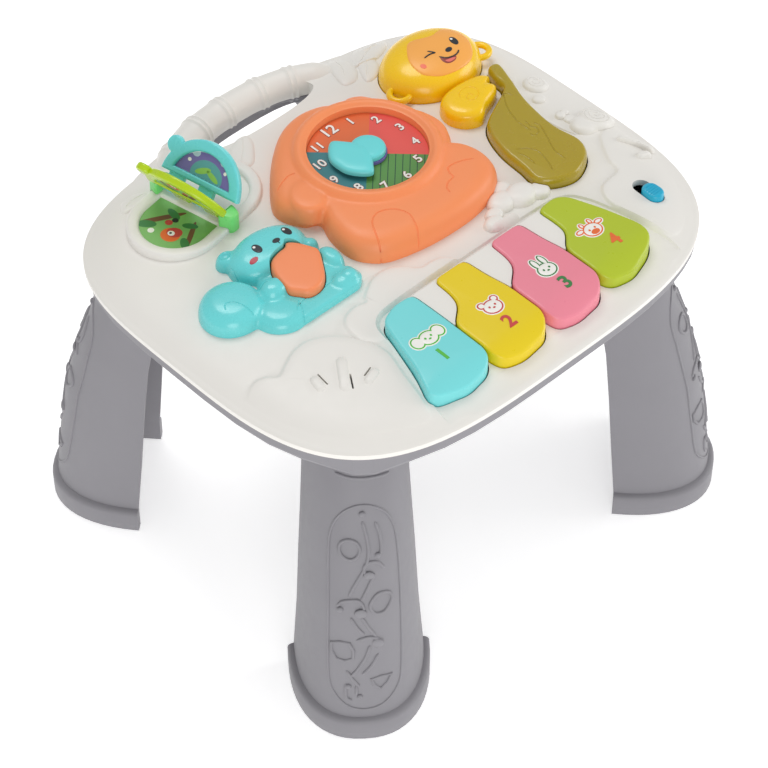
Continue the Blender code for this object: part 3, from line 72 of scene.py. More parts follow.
Piece = bpy.types.Object
Point = tuple[float, float]
Size = tuple[float, float]
Place = tuple[float, float, float]
Points = tuple[Point, ...]
Rows = tuple[tuple[float, ...], ...]
Outline = list[Point]
Path = list[Point]
GROOVE_LIFT = 0.0001  # how far the middle of an engraved line lies over its surface
STROKE_LIFT = 0.00005  # the same for a printed stroke
SHINE_RADIUS = 0.001
SHINE_RISE = 0.0004
log = logging.getLogger("activity_table")


# Small geometry helpers
def mm(*values: float) -> tuple[float, ...]:
    """Millimetres as metres."""
    return tuple(value * 0.001 for value in values)


def mm_points(*points: tuple[float, ...]) -> list[tuple[float, ...]]:
    """Points given in millimetres, as metres."""
    return [mm(*point) for point in points]


def smooth_curve(points: Path, steps: int, closed: bool = True) -> Path:
    """A smooth curve through the points.

    Args:
        points: The points that the curve passes through.
        steps: How many steps lie between two of them.
        closed: Whether the curve runs round to its start.

    Returns:
        The points of the curve.
    """
    count = len(points)
    runs = count if closed else count - 1
    result: Path = []
    for i in range(runs):
        picks = [(i + k - 1) % count if closed else min(max(i + k - 1, 0), count - 1) for k in range(4)]
        before, start, end, after = (Vector(points[k]) for k in picks)
        for step in range(steps):
            t = step / steps
            result.append(tuple(0.5 * (2 * start + (end - before) * t
                                       + (2 * before - 5 * start + 4 * end - after) * t ** 2
                                       + (3 * start - before - 3 * end + after) * t ** 3)))
    if not closed:
        result.append(tuple(points[-1]))
    return result


def mm_curve(points: Points, steps: int, closed: bool = True) -> Path:
    """A smooth curve through points given in millimetres."""
    return smooth_curve(mm_points(*points), steps, closed)


def round_angles(count: int) -> list[float]:
    """Even angles round a full turn."""
    return [2 * math.pi * i / count for i in range(count)]


def corner_angles(steps: int) -> list[float]:
    """Even angles round a quarter turn, with both ends."""
    return [math.pi / 2 * k / steps for k in range(steps + 1)]


def round_corners(points: Outline, radius: float, steps: int = 6) -> Outline:
    """An outline with each corner replaced by a short curve.

    Args:
        points: The corners.
        radius: How far before and after a corner its curve starts and ends.
        steps: Steps along each curve.

    Returns:
        The rounded outline.
    """
    count = len(points)
    result: Outline = []
    for i in range(count):
        corner = Vector(points[i])
        back = Vector(points[i - 1]) - corner
        onward = Vector(points[(i + 1) % count]) - corner
        start = corner + back.normalized() * min(radius, back.length * 0.45)
        end = corner + onward.normalized() * min(radius, onward.length * 0.45)
        for step in range(steps + 1):
            t = step / steps
            result.append(tuple(start * (1 - t) ** 2 + corner * 2 * t * (1 - t) + end * t ** 2))
    return result


def offset_outline(outline: Outline, distance: float) -> Outline:
    """An outline moved outwards by a small distance, or inwards by a negative one."""
    count = len(outline)
    area = sum(outline[i - 1][0] * outline[i][1] - outline[i][0] * outline[i - 1][1] for i in range(count))
    side = 1 if area > 0 else -1
    result: Outline = []
    for i in range(count):
        before = (Vector(outline[i]) - Vector(outline[i - 1])).normalized()
        after = (Vector(outline[(i + 1) % count]) - Vector(outline[i])).normalized()
        normal = Vector((before.y + after.y, -before.x - after.x)).normalized()
        lean = max(0.5, normal.dot(Vector((before.y, -before.x))))
        result.append(tuple(Vector(outline[i]) + normal * side * distance / lean))
    return result


def placed(shares: Path, centre: Point, half_size: Size, turn: float = 0.0) -> Outline:
    """Shares of a half size, turned and set at their centre."""
    c, s = math.cos(turn), math.sin(turn)
    points = [(sx * half_size[0], sy * half_size[1]) for sx, sy in shares]
    return [(centre[0] + x * c - y * s, centre[1] + x * s + y * c) for x, y in points]


def scaled(outline: Outline, centre: Point, share: float) -> Outline:
    """An outline shrunk or grown about a centre."""
    return [(centre[0] + (x - centre[0]) * share, centre[1] + (y - centre[1]) * share) for x, y in outline]


def shaped(shares: Points, centre: Point, half_size: Size, steps: int) -> Outline:
    """A smooth outline through shares of a half size about a centre."""
    return smooth_curve(placed(shares, centre, half_size), steps)


def ellipse(centre: Point, half_size: Size, count: int = 48, turn: float = 0.0) -> Outline:
    """Points round an ellipse."""
    return placed([(math.cos(a), math.sin(a)) for a in round_angles(count)], centre, half_size, turn)


def circle(centre: Point, radius: float, count: int = 48) -> Outline:
    """Points round a circle."""
    return ellipse(centre, (radius, radius), count)


def stadium(start: Point, end: Point, radius: float, steps: int = 8) -> Outline:
    """The outline of a bar with round ends between two points."""
    along = (Vector(end) - Vector(start)).normalized()
    turn = math.atan2(along.y, along.x)
    angles = [turn - math.pi / 2 + math.pi * i / steps for i in range(steps + 1)]
    points = [(end[0] + radius * math.cos(a), end[1] + radius * math.sin(a)) for a in angles]
    points += [(start[0] - radius * math.cos(a), start[1] - radius * math.sin(a)) for a in angles]
    return points


# Modelling steps, as done by hand in edit mode
class Combine(Enum):
    """What a second body does to the piece that it meets."""

    CUT = 'DIFFERENCE'
    ADD = 'UNION'
    KEEP_COMMON = 'INTERSECT'


def activate(piece: Piece) -> None:
    """Select one object and nothing else."""
    bpy.ops.object.select_all(action='DESELECT')
    piece.select_set(True)
    bpy.context.view_layer.objects.active = piece


def new_object(name: str, data: bpy.types.ID) -> Piece:
    """A new object in the scene that shows some data."""
    made = bpy.data.objects.new(name, data)
    bpy.context.scene.collection.objects.link(made)
    return made


@contextmanager
def editing(piece: Piece) -> Iterator[None]:
    """Edit mode on one piece with all of it selected, and back to object mode.

    Args:
        piece: The piece to edit.
    """
    activate(piece)
    bpy.ops.object.mode_set(mode='EDIT')
    bpy.ops.mesh.select_all(action='SELECT')
    yield
    bpy.ops.object.mode_set(mode='OBJECT')


def modify(piece: Piece, kind: str, **settings: object) -> Piece:
    """Add a modifier, set it and apply it.

    Args:
        piece: The piece that gets it.
        kind: Blender's name of the modifier type.
        settings: The modifier's values.

    Returns:
        The same piece.
    """
    activate(piece)
    modifier = piece.modifiers.new(kind.lower(), kind)
    for key, value in settings.items():
        setattr(modifier, key, value)
    bpy.ops.object.modifier_apply(modifier=modifier.name)
    return piece


def set_outwards(piece: Piece) -> Piece:
    """Turn all faces of a closed piece outwards."""
    with editing(piece):
        bpy.ops.mesh.normals_make_consistent(inside=False)
        if bmesh.from_edit_mesh(piece.data).calc_volume(signed=True) < 0:
            bpy.ops.mesh.flip_normals()
    return piece


def flat_face(name: str, outline: Outline, z: float) -> Piece:
    """A flat face with the outline's corners, made from a circle.

    Args:
        name: The new object's name.
        outline: Its corners in order.
        z: Its height.

    Returns:
        The new object.
    """
    bpy.ops.object.select_all(action='DESELECT')
    bpy.ops.mesh.primitive_circle_add(vertices=len(outline), radius=1.0, fill_type='NGON', location=(0, 0, 0))
    piece = bpy.context.active_object
    piece.name = piece.data.name = name
    for vertex, (x, y) in zip(piece.data.vertices, outline):
        vertex.co = (x, y, z)
    return piece


def loft(name: str, outline: Outline, centre: Point,
         levels: list[Point]) -> Piece:
    """A solid whose outline grows and shrinks about a centre as it rises.

    Args:
        name: The new object's name.
        outline: Its outline at share 1.
        centre: The point that the outline shrinks to.
        levels: Pairs of a share and a height, from the bottom up.

    Returns:
        The new object.
    """
    share, z = levels[0]
    piece = flat_face(name, scaled(outline, centre, share), z)
    with editing(piece):
        for next_share, next_z in levels[1:]:
            bpy.ops.mesh.extrude_region_move(TRANSFORM_OT_translate={"value": (0, 0, next_z - z)})
            k = next_share / share
            bpy.ops.transform.resize(value=(k, k, 1), center_override=(centre[0], centre[1], next_z))
            share, z = next_share, next_z
    return set_outwards(piece)


def skin(name: str, rings: list[list[Vector]]) -> Piece:
    """A solid drawn through sections, each extruded from the last and then shaped.

    Args:
        name: The new object's name.
        rings: The sections, each with the same number of points.

    Returns:
        The new object.
    """
    piece = flat_face(name, [(p[0], p[1]) for p in rings[0]], 0.0)
    for vertex, point in zip(piece.data.vertices, rings[0]):
        vertex.co = point
    with editing(piece):
        last = {vertex.index: i for i, vertex in enumerate(bmesh.from_edit_mesh(piece.data).verts)}
        for ring in rings[1:]:
            bpy.ops.mesh.extrude_region_move(TRANSFORM_OT_translate={"value": (0, 0, 0.001)})
            body = bmesh.from_edit_mesh(piece.data)
            body.verts.index_update()
            now: dict[int, int] = {}
            for vertex in body.verts:
                if vertex.select:
                    source = next(last[other.index] for edge in vertex.link_edges
                                  if (other := edge.other_vert(vertex)).index in last)
                    now[vertex.index] = source
                    vertex.co = ring[source]
            last = now
            bmesh.update_edit_mesh(piece.data)
    return set_outwards(piece)


def rounded_block(name: str, outline: Outline, bottom: float, top: float, radius: float, steps: int) -> Piece:
    """A block with upright sides and a rounded top edge.

    Args:
        name: The new object's name.
        outline: Its outline.
        bottom: Height of its underside.
        top: Height of its top.
        radius: Radius of the top edge.
        steps: Steps round that edge.

    Returns:
        The new object.
    """
    piece = flat_face(name, outline, bottom)
    angles = corner_angles(steps)
    with editing(piece):
        bpy.ops.mesh.extrude_region_move(TRANSFORM_OT_translate={"value": (0, 0, top - radius - bottom)})
        for a, b in zip(angles, angles[1:]):
            bpy.ops.mesh.inset(thickness=radius * (math.cos(a) - math.cos(b)), depth=0.0)
            bpy.ops.transform.translate(value=(0, 0, radius * (math.sin(b) - math.sin(a))))
    return set_outwards(piece)


def stack(name: str, outline: Outline, rows: list[Point]) -> Piece:
    """A solid from rows of how far its outline is grown and a height, from the bottom up."""
    return skin(name, [[Vector((*p, z)) for p in offset_outline(outline, grow)] for grow, z in rows])


def plate(name: str, outlines: list[Outline], bottom: float, thickness: float,
          rounding: float = 0.0, steps: int = 3) -> Piece:
    """A flat plate, with holes if there is more than one outline, and rounded edges on both sides.

    Args:
        name: The new object's name.
        outlines: The outer edge and then the holes; separate outer edges make separate plates.
        bottom: Height of its underside.
        thickness: Its thickness.
        rounding: Radius of its edges.
        steps: Steps round each edge.

    Returns:
        The new object.
    """
    drawn = bpy.data.curves.new(name, 'CURVE')
    drawn.dimensions = '2D'
    drawn.fill_mode = 'BOTH'
    drawn.extrude = thickness / 2 - rounding
    drawn.bevel_depth = rounding
    drawn.bevel_resolution = steps
    drawn.offset = -rounding
    for outline in outlines:
        spline = drawn.splines.new('POLY')
        spline.points.add(len(outline) - 1)
        for point, (x, y) in zip(spline.points, outline):
            point.co = (x, y, 0.0, 1.0)
        spline.use_cyclic_u = True
    return curve_to_mesh(name, drawn, Vector((0, 0, bottom + thickness / 2)), 0.00001)


def curve_to_mesh(name: str, drawn: bpy.types.Curve, shift: Vector, weld: float) -> Piece:
    """Make a curve's form a closed mesh.

    Args:
        name: The new object's name.
        drawn: The curve.
        shift: How far the mesh is moved.
        weld: Distance under which points are merged.

    Returns:
        The new object.
    """
    activate(new_object(name, drawn))
    bpy.ops.object.convert(target='MESH')
    piece = bpy.context.active_object
    piece.name = piece.data.name = name
    piece.data.transform(Matrix.Translation(shift))
    with editing(piece):
        bpy.ops.mesh.remove_doubles(threshold=weld)
        bpy.ops.mesh.normals_make_consistent(inside=False)
    return piece


def wires(name: str, paths: list[list[Vector]], radius: float, taper: bool = True,
          resolution: int = 2) -> Piece:
    """Round bars along paths, with ends that run out softly.

    Args:
        name: The new object's name.
        paths: The centre lines.
        radius: Radius of the bars.
        taper: Whether the ends grow thin.
        resolution: Steps round the bars' section.

    Returns:
        The new object.
    """
    drawn = bpy.data.curves.new(name, 'CURVE')
    drawn.dimensions = '3D'
    drawn.bevel_depth = radius
    drawn.bevel_resolution = resolution
    drawn.use_fill_caps = True
    for path in paths:
        closed = (Vector(path[0]) - Vector(path[-1])).length < radius / 10
        points = path[:-1] if closed else path
        spline = drawn.splines.new('POLY')
        spline.points.add(len(points) - 1)
        spline.use_cyclic_u = closed
        for i, (point, place) in enumerate(zip(spline.points, points)):
            point.co = (*place, 1.0)
            edge = min(i, len(points) - 1 - i)
            point.radius = (0.35, 0.8, 1.0)[min(edge, 2)] if taper and not closed else 1.0
    return curve_to_mesh(name, drawn, Vector(), radius / 40)


def merge(name: str, pieces: list[Piece]) -> Piece:
    """Join several meshes into one object."""
    bpy.ops.object.select_all(action='DESELECT')
    for piece in pieces:
        piece.select_set(True)
    bpy.context.view_layer.objects.active = pieces[0]
    bpy.ops.object.join()
    pieces[0].name = pieces[0].data.name = name
    return pieces[0]


def combine(piece: Piece, tool: Piece, how: Combine) -> Piece:
    """Cut, join or intersect a piece with another body, which is used up.

    Args:
        piece: The piece that stays.
        tool: The body used on it.
        how: What is done.

    Returns:
        The piece.
    """
    count = len(piece.data.vertices)
    modify(piece, 'BOOLEAN', object=tool, operation=how.value, solver='MANIFOLD')
    if len(piece.data.vertices) == count:
        modify(piece, 'BOOLEAN', object=tool, operation=how.value, solver='EXACT')
    bpy.data.objects.remove(tool)
    return piece


def smooth(piece: Piece, degrees: float = 35.0) -> Piece:
    """Shade a piece smoothly, with edges sharper than the angle left crisp."""
    activate(piece)
    bpy.ops.object.shade_smooth_by_angle(angle=math.radians(degrees))
    return piece


def melt(name: str, pieces: list[Piece], voxel: float, rounds: int) -> Piece:
    """Flow overlapping bodies into one with cells of a size, smoothed some rounds."""
    body = modify(merge(name, pieces), 'REMESH', mode='VOXEL', voxel_size=voxel)
    return modify(body, 'SMOOTH', factor=0.5, iterations=rounds)


def moved_copy(piece: Piece, name: str, place: Matrix) -> Piece:
    """A copy with its own mesh, moved or mirrored."""
    twin = new_object(name, piece.data.copy())
    twin.data.name = name
    twin.data.transform(place)
    return set_outwards(twin) if place.determinant() < 0 else twin


def dome(name: str, outline: Outline, centre: Point, bottom: float, height: float,
         profile: Rows) -> Piece:
    """A crowned solid whose smooth profile has rows of a share of its outline and a share of its height."""
    rows = smooth_curve(list(profile), 4, closed=False)
    return loft(name, outline, centre, [(share, bottom + height * rise) for share, rise in rows])


def letters(name: str, words: str, place: Point, size: float, weight: float,
            thickness: float = 0.0005) -> Piece:
    """Thin figures lying at height zero.

    Args:
        name: The new object's name.
        words: The figures.
        place: Their middle.
        size: Their height, roughly.
        weight: How much bolder than plain they are.
        thickness: Their thickness.

    Returns:
        The new object.
    """
    drawn = bpy.data.curves.new(name, 'FONT')
    drawn.body = words
    drawn.size = size
    drawn.align_x = 'CENTER'
    drawn.align_y = 'CENTER'
    drawn.offset = weight
    drawn.extrude = thickness / 2
    return curve_to_mesh(name, drawn, Vector((*place, 0.0)), 0.000001)


class Surface:
    """The top of a finished piece, asked for its height over a point."""

    def __init__(self, piece: Piece) -> None:
        """Keep the piece's surface as it is now."""
        body = bmesh.new()
        body.from_mesh(piece.data)
        self.tree = BVHTree.FromBMesh(body)
        body.free()

    def height(self, x: float, y: float) -> float:
        """Height of the topmost point over a place, or of the nearest one where there is none."""
        hit = self.tree.ray_cast(Vector((x, y, 0.5)), Vector((0, 0, -1)))[0]
        return (hit or self.tree.find_nearest(Vector((x, y, 0.26)))[0]).z

    def along(self, path: Path, lift: float = 0.0) -> list[Vector]:
        """A path laid on the surface."""
        return [Vector((x, y, self.height(x, y) + lift)) for x, y in path]

    def drape(self, piece: Piece) -> Piece:
        """Raise a flat piece made at height zero onto the surface."""
        for vertex in piece.data.vertices:
            vertex.co.z += self.height(vertex.co.x, vertex.co.y)
        return piece


def engrave(piece: Piece, name: str, lines: list[Path], radius: float) -> Piece:
    """Cut round grooves into the top of a piece along lines in the plan."""
    lay = Surface(piece)
    return combine(piece, wires(name, [lay.along(line, GROOVE_LIFT) for line in lines], radius), Combine.CUT)


def laid_on(name: str, outline: Outline, surface: Surface, levels: list[Point]) -> Piece:
    """A form laid on a surface, from levels of a share of its outline and a height over the surface."""
    middle = sum((Vector(p) for p in outline), Vector((0, 0))) / len(outline)
    return surface.drape(loft(name, outline, tuple(middle), levels))


def mound(name: str, outline: Outline, surface: Surface, height: float) -> Piece:
    """A soft raised shape that grows out of a surface.

    Args:
        name: The new object's name.
        outline: Its foot.
        surface: What it grows out of.
        height: How far it stands up.

    Returns:
        The new object.
    """
    sink = 0.0012
    levels = [(1.06, -sink), (1.02, -sink / 4), (0.99, height * 0.16), (0.95, height * 0.38), (0.88, height * 0.62),
              (0.76, height * 0.83), (0.58, height * 0.95), (0.35, height), (0.12, height)]
    return laid_on(name, outline, surface, levels)


def terrace(name: str, outline: Outline, middle: Point, surface: Surface, height: float,
            reach: Callable[[float, float], float]) -> Piece:
    """A flat raised region with a soft step round it, which fades out towards the rim.

    Args:
        name: The new object's name.
        outline: The foot of its step.
        middle: A place inside, from which its whole outline can be seen.
        surface: What it grows out of.
        height: How far it stands up.
        reach: A place's share of the way from the middle to the rim.

    Returns:
        The new object.
    """
    step, sink, faded_sink, rim_share, fade_share = 0.0032, 0.0014, 0.0004, 0.97, 0.09
    rows = [(0.0, 1.0, -sink), (0.0, 1.0, 0.0)]
    rows += [(-step * t, 1.0, height * t * t * (3 - 2 * t)) for t in (0.2, 0.4, 0.6, 0.8, 1.0)]
    rows += [(-step, share, height) for share in (0.86, 0.72, 0.58, 0.44, 0.3, 0.16, 0.06)]
    rings: list[list[Vector]] = []
    for grow, share, rise in rows:
        ring: list[Vector] = []
        for x, y in scaled(offset_outline(outline, grow), middle, share):
            fade = min(1.0, max(0.0, (rim_share - reach(x, y)) / fade_share))
            ring.append(Vector((x, y, rise if rise < 0 else rise * fade - faded_sink * (1 - fade))))
        rings.append(ring)
    return surface.drape(skin(name, rings))


def print_on(name: str, outline: Outline, surface: Surface, rise: float = 0.00025) -> Piece:
    """A thin printed shape, which stands proud of a surface by its rise."""
    sink = 0.0004
    return laid_on(name, outline, surface, [(1.0, -sink), (1.0, rise * 0.6), (0.96, rise), (0.6, rise), (0.2, rise)])


# Finishes
class Wiring:
    """Adds shader nodes to a tree and joins them."""

    def __init__(self, tree: bpy.types.NodeTree) -> None:
        """Work on one tree."""
        self.tree = tree

    def add(self, kind: str, **inputs: object) -> bpy.types.Node:
        """Add a node and fill its inputs."""
        node = self.tree.nodes.new(kind)
        self.fill(node, **inputs)
        return node

    def fill(self, node: bpy.types.Node, **inputs: object) -> None:
        """Fill a node's inputs.

        Args:
            node: The node.
            inputs: Values or sockets, by input name with underscores for spaces.
        """
        for key, value in inputs.items():
            self.feed(node.inputs[key.replace("_", " ")], value)

    def feed(self, socket: bpy.types.NodeSocket, value: object) -> None:
        """Join a socket to another one, or set its value."""
        if isinstance(value, bpy.types.NodeSocket):
            self.tree.links.new(value, socket)
        else:
            socket.default_value = value

    def math(self, operation: str, first: object, second: object = 0.0) -> bpy.types.NodeSocket:
        """The result of a calculation on two values."""
        node = self.tree.nodes.new("ShaderNodeMath")
        node.operation = operation
        self.feed(node.inputs[0], first)
        self.feed(node.inputs[1], second)
        return node.outputs[0]

    def mix(self, share: object, first: object, second: object) -> bpy.types.NodeSocket:
        """A colour between two colours."""
        node = self.tree.nodes.new("ShaderNodeMix")
        node.data_type = 'RGBA'
        for index, value in ((0, share), (6, first), (7, second)):
            self.feed(node.inputs[index], value)
        return node.outputs[2]

    def place(self, **mapping: tuple[float, ...]) -> bpy.types.NodeSocket:
        """The piece's own coordinates, moved, turned or scaled."""
        where = self.tree.nodes.new("ShaderNodeTexCoord")
        return self.add("ShaderNodeMapping", Vector=where.outputs["Object"], **mapping).outputs[0]


def srgb(red: int, green: int, blue: int) -> tuple[float, float, float, float]:
    """A screen colour as scene-linear values."""
    return (*(((c / 255 + 0.055) / 1.055) ** 2.4 if c > 10 else c / 255 / 12.92 for c in (red, green, blue)), 1.0)


def start_material(name: str) -> tuple[bpy.types.Material, Wiring, bpy.types.Node]:
    """A new material with its wiring and its shader."""
    material = bpy.data.materials.new(f"finish_{name}")
    material.use_nodes = True
    return material, Wiring(material.node_tree), material.node_tree.nodes["Principled BSDF"]


def moulded_surface() -> bpy.types.NodeTree:
    """The group for moulded plastic: flow clouds in the colour, a fine peel and handling marks.

    Returns:
        The shader group, made at its first use.
    """
    if "moulded_surface" in bpy.data.node_groups:
        return bpy.data.node_groups["moulded_surface"]
    tree = bpy.data.node_groups.new("moulded_surface", 'ShaderNodeTree')
    for way, names in (('INPUT', ("Colour", "Mottle", "Roughness", "Grain Scale")),
                       ('OUTPUT', ("Colour", "Roughness", "Height"))):
        for name in names:
            kind = 'NodeSocketColor' if name == "Colour" else 'NodeSocketFloat'
            tree.interface.new_socket(name, in_out=way, socket_type=kind)
    wiring = Wiring(tree)
    given = tree.nodes.new("NodeGroupInput").outputs
    place = wiring.place()
    clouds = wiring.add("ShaderNodeTexNoise", Vector=place, Scale=28.0, Detail=3.0, Roughness=0.55)
    marks = wiring.add("ShaderNodeTexNoise", Vector=place, Scale=140.0, Detail=4.0, Roughness=0.65)
    grain = wiring.add("ShaderNodeTexNoise", Vector=place, Scale=given["Grain Scale"], Detail=2.0)
    shade = wiring.math('SUBTRACT', clouds.outputs["Fac"], 0.5)
    value = wiring.math('ADD', wiring.math('MULTIPLY', shade, given["Mottle"]), 1.0)
    tint = wiring.add("ShaderNodeHueSaturation", Color=given["Colour"], Value=value)
    worn = wiring.math('MULTIPLY', wiring.math('SUBTRACT', marks.outputs["Fac"], 0.45), 0.22)
    wiring.fill(tree.nodes.new("NodeGroupOutput"), Colour=tint.outputs[0],
                Roughness=wiring.math('ADD', given["Roughness"], worn), Height=grain.outputs["Fac"])
    return tree


@dataclass(frozen=True)
class Plastic:
    """A moulded or painted plastic finish."""

    name: str
    colour: tuple[int, int, int]
    roughness: float = 0.38
    mottle: float = 0.06
    grain_scale: float = 1400.0
    grain_depth: float = 0.00004
    coat: float = 0.0
    glow: float = 0.0
    coat_roughness: float = 0.08
    glow_depth: Place = (0.004, 0.003, 0.002)

    def start(self) -> tuple[bpy.types.Material, Wiring, bpy.types.Node]:
        """Start the material with its group and shader joined up.

        Returns:
            The material, its wiring and the group node.
        """
        material, wiring, shader = start_material(self.name)
        group = material.node_tree.nodes.new("ShaderNodeGroup")
        group.node_tree = moulded_surface()
        wiring.fill(group, Colour=srgb(*self.colour), Mottle=self.mottle, Roughness=self.roughness,
                    Grain_Scale=self.grain_scale)
        bump = wiring.add("ShaderNodeBump", Height=group.outputs["Height"], Distance=self.grain_depth, Strength=0.6)
        wiring.fill(shader, Base_Color=group.outputs["Colour"], Roughness=group.outputs["Roughness"],
                    Normal=bump.outputs[0], Coat_Weight=self.coat, Coat_Roughness=self.coat_roughness,
                    Subsurface_Weight=self.glow, Subsurface_Radius=self.glow_depth, Subsurface_Scale=1.0)
        return material, wiring, group

    def material(self) -> bpy.types.Material:
        """The finish as a new material."""
        return self.start()[0]


@dataclass(frozen=True)
class Metal:
    """Plated or bare steel with drawn scratches."""

    name: str
    colour: tuple[int, int, int] = (196, 196, 198)
    roughness: float = 0.28
    stretch: tuple[float, float, float] = (900.0, 900.0, 90.0)
    scratch_shade: float = 0.72
    scratch_depth: float = 0.00003

    def material(self) -> bpy.types.Material:
        """The finish as a new material.

        Returns:
            The material.
        """
        material, wiring, shader = start_material(self.name)
        drawn = wiring.add("ShaderNodeTexNoise", Vector=wiring.place(Scale=self.stretch), Scale=1.0, Detail=4.0)
        scratches = drawn.outputs["Fac"]
        light = srgb(*self.colour)
        dark = (*(part * self.scratch_shade for part in light[:3]), 1.0)
        rough = wiring.math('ADD', wiring.math('MULTIPLY', scratches, 0.2), self.roughness - 0.1)
        bump = wiring.add("ShaderNodeBump", Height=scratches, Distance=self.scratch_depth, Strength=0.5)
        wiring.fill(shader, Base_Color=wiring.mix(scratches, light, dark), Roughness=rough, Normal=bump.outputs[0],
                    Metallic=1.0)
        return material


@dataclass(frozen=True)
class DialPrint(Plastic):
    """The dial's print: four quarters along the diagonals, one of them with dark stripes."""

    centre: Point = (0.0187, 0.0354)
    stripe_pitch: float = 0.0068
    stripe_half: float = 0.00045
    stripe_shift: float = 0.0009

    def material(self) -> bpy.types.Material:
        """The finish as a new material.

        Returns:
            The material.
        """
        material, wiring, group = self.start()
        where = wiring.place(Location=(-self.centre[0], -self.centre[1], 0.0))
        axes = wiring.add("ShaderNodeSeparateXYZ", Vector=where)
        along = wiring.math('ADD', axes.outputs[0], axes.outputs[1])
        across = wiring.math('SUBTRACT', axes.outputs[0], axes.outputs[1])
        forward = wiring.math('GREATER_THAN', along, 0.0)
        right = wiring.math('GREATER_THAN', across, 0.0)
        wave = wiring.math('PINGPONG', wiring.math('ADD', across, self.stripe_shift), self.stripe_pitch / 2)
        green = wiring.mix(wiring.math('LESS_THAN', wave, self.stripe_half), srgb(92, 150, 74), srgb(40, 84, 56))
        front = wiring.mix(right, srgb(60, 132, 140), green)
        back = wiring.mix(right, srgb(232, 112, 62), srgb(236, 92, 84))
        wiring.feed(group.inputs["Colour"], wiring.mix(forward, front, back))
        return material


class Finish(Enum):
    """The finishes of this table."""

    WHITE = Plastic("white_shell", (240, 237, 231), 0.42, 0.03, 1500.0)
    GREY = Plastic("grey_shell", (139, 137, 142), 0.5, 0.06, 1700.0, 0.00008)
    ORANGE = Plastic("orange_housing", (255, 152, 96), 0.42, 0.03, glow=0.05)
    NUT = Plastic("orange_nut", (255, 150, 98), 0.4, 0.03)
    YELLOW = Plastic("yellow_plastic", (255, 208, 10), 0.26, 0.05, coat=0.2)
    FACE = Plastic("face_plastic", (255, 178, 84), 0.34, 0.05)
    CYAN = Plastic("cyan_plastic", (112, 222, 224), 0.26, 0.04, coat=0.2)
    KNOB = Plastic("knob_cyan", (112, 222, 224), 0.36, 0.04)
    PURPLE = Plastic("purple_plastic", (112, 104, 176), 0.32, 0.05)
    OLIVE = Plastic("olive_plastic", (176, 154, 34), 0.24, 0.07, coat=0.3, glow=0.1)
    KEY_CYAN = Plastic("key_cyan", (126, 226, 228), 0.3, 0.03)
    KEY_YELLOW = Plastic("key_yellow", (240, 212, 24), 0.3, 0.03)
    KEY_PINK = Plastic("key_pink", (244, 142, 160), 0.3, 0.03)
    KEY_GREEN = Plastic("key_green", (184, 202, 46), 0.3, 0.03)
    LIME = Plastic("lime_plastic", (186, 216, 8), 0.24, 0.05, coat=0.3)
    HINGE = Plastic("hinge_green", (126, 226, 124), 0.3, 0.05)
    BLUE = Plastic("blue_plastic", (36, 178, 214), 0.3, 0.05)
    BLACK = Plastic("black_plastic", (34, 34, 37), 0.5, 0.2)
    RUBBER = Plastic("rubber", (44, 44, 46), 0.75, 0.2, 900.0, 0.0001)
    BOARD = Plastic("circuit_board", (30, 92, 58), 0.45, 0.3, 300.0)
    LAMP = Plastic("lamp", (244, 240, 220), 0.15, 0.02)
    WRAP = Plastic("battery_wrap", (52, 56, 66), 0.3, 0.15)
    INK = Plastic("ink_dark", (40, 44, 50), 0.35, 0.05)
    INK_WHITE = Plastic("ink_white", (250, 248, 242), 0.35, 0.02)
    INK_RED = Plastic("ink_red", (206, 70, 66), 0.4, 0.05)
    INK_PINK = Plastic("ink_pink", (236, 120, 110), 0.4, 0.05)
    INK_GREEN = Plastic("ink_green", (84, 190, 60), 0.4, 0.05)
    INK_FOREST = Plastic("ink_forest", (60, 130, 70), 0.4, 0.05)
    INK_ORANGE = Plastic("ink_orange", (238, 110, 50), 0.4, 0.05)
    INK_SKY = Plastic("ink_sky", (186, 212, 222), 0.4, 0.05)
    INK_TEAL = Plastic("ink_teal", (96, 170, 172), 0.4, 0.08)
    INK_LILAC = Plastic("ink_lilac", (122, 112, 176), 0.4, 0.08)
    INK_GRASS = Plastic("ink_grass", (150, 206, 96), 0.4, 0.08)
    INK_MEADOW = Plastic("ink_meadow", (130, 190, 108), 0.4, 0.08)
    INK_WOOD = Plastic("ink_wood", (120, 78, 56), 0.4, 0.08)
    INK_BRICK = Plastic("ink_brick", (150, 70, 60), 0.4, 0.05)
    CHEEK = Plastic("ink_cheek", (250, 120, 90), 0.4, 0.05)
    CHEEK_RED = Plastic("ink_cheek_red", (190, 70, 82), 0.4, 0.05)
    DIAL = DialPrint("dial_print", (232, 112, 62), 0.4, 0.08)
    STEEL = Metal("steel")
    SPRING = Metal("spring_steel", (168, 170, 176), 0.32)

    def material(self) -> bpy.types.Material:
        """The material of this finish, made once."""
        return bpy.data.materials.get(f"finish_{self.value.name}") or self.value.material()


def fit(piece: Piece, finish: Finish, body: str, slot: str, *replaced: str,
        degrees: float = 35.0) -> Piece:
    """Shade and dress a finished piece and tie it to its body.

    Args:
        piece: The piece.
        finish: Its finish.
        body: The body that carries it.
        slot: The record's material slot, which is not used.
        replaced: The nodes that it stands for.
        degrees: Angle over which its edges stay crisp.

    Returns:
        The piece.
    """
    smooth(piece, degrees)
    piece.data.materials.clear()
    piece.data.materials.append(finish.material())
    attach(piece, body)
    if replaced:
        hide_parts(*replaced)
    log.info("%s: %d faces on %s", piece.name, len(piece.data.polygons), body)
    return piece


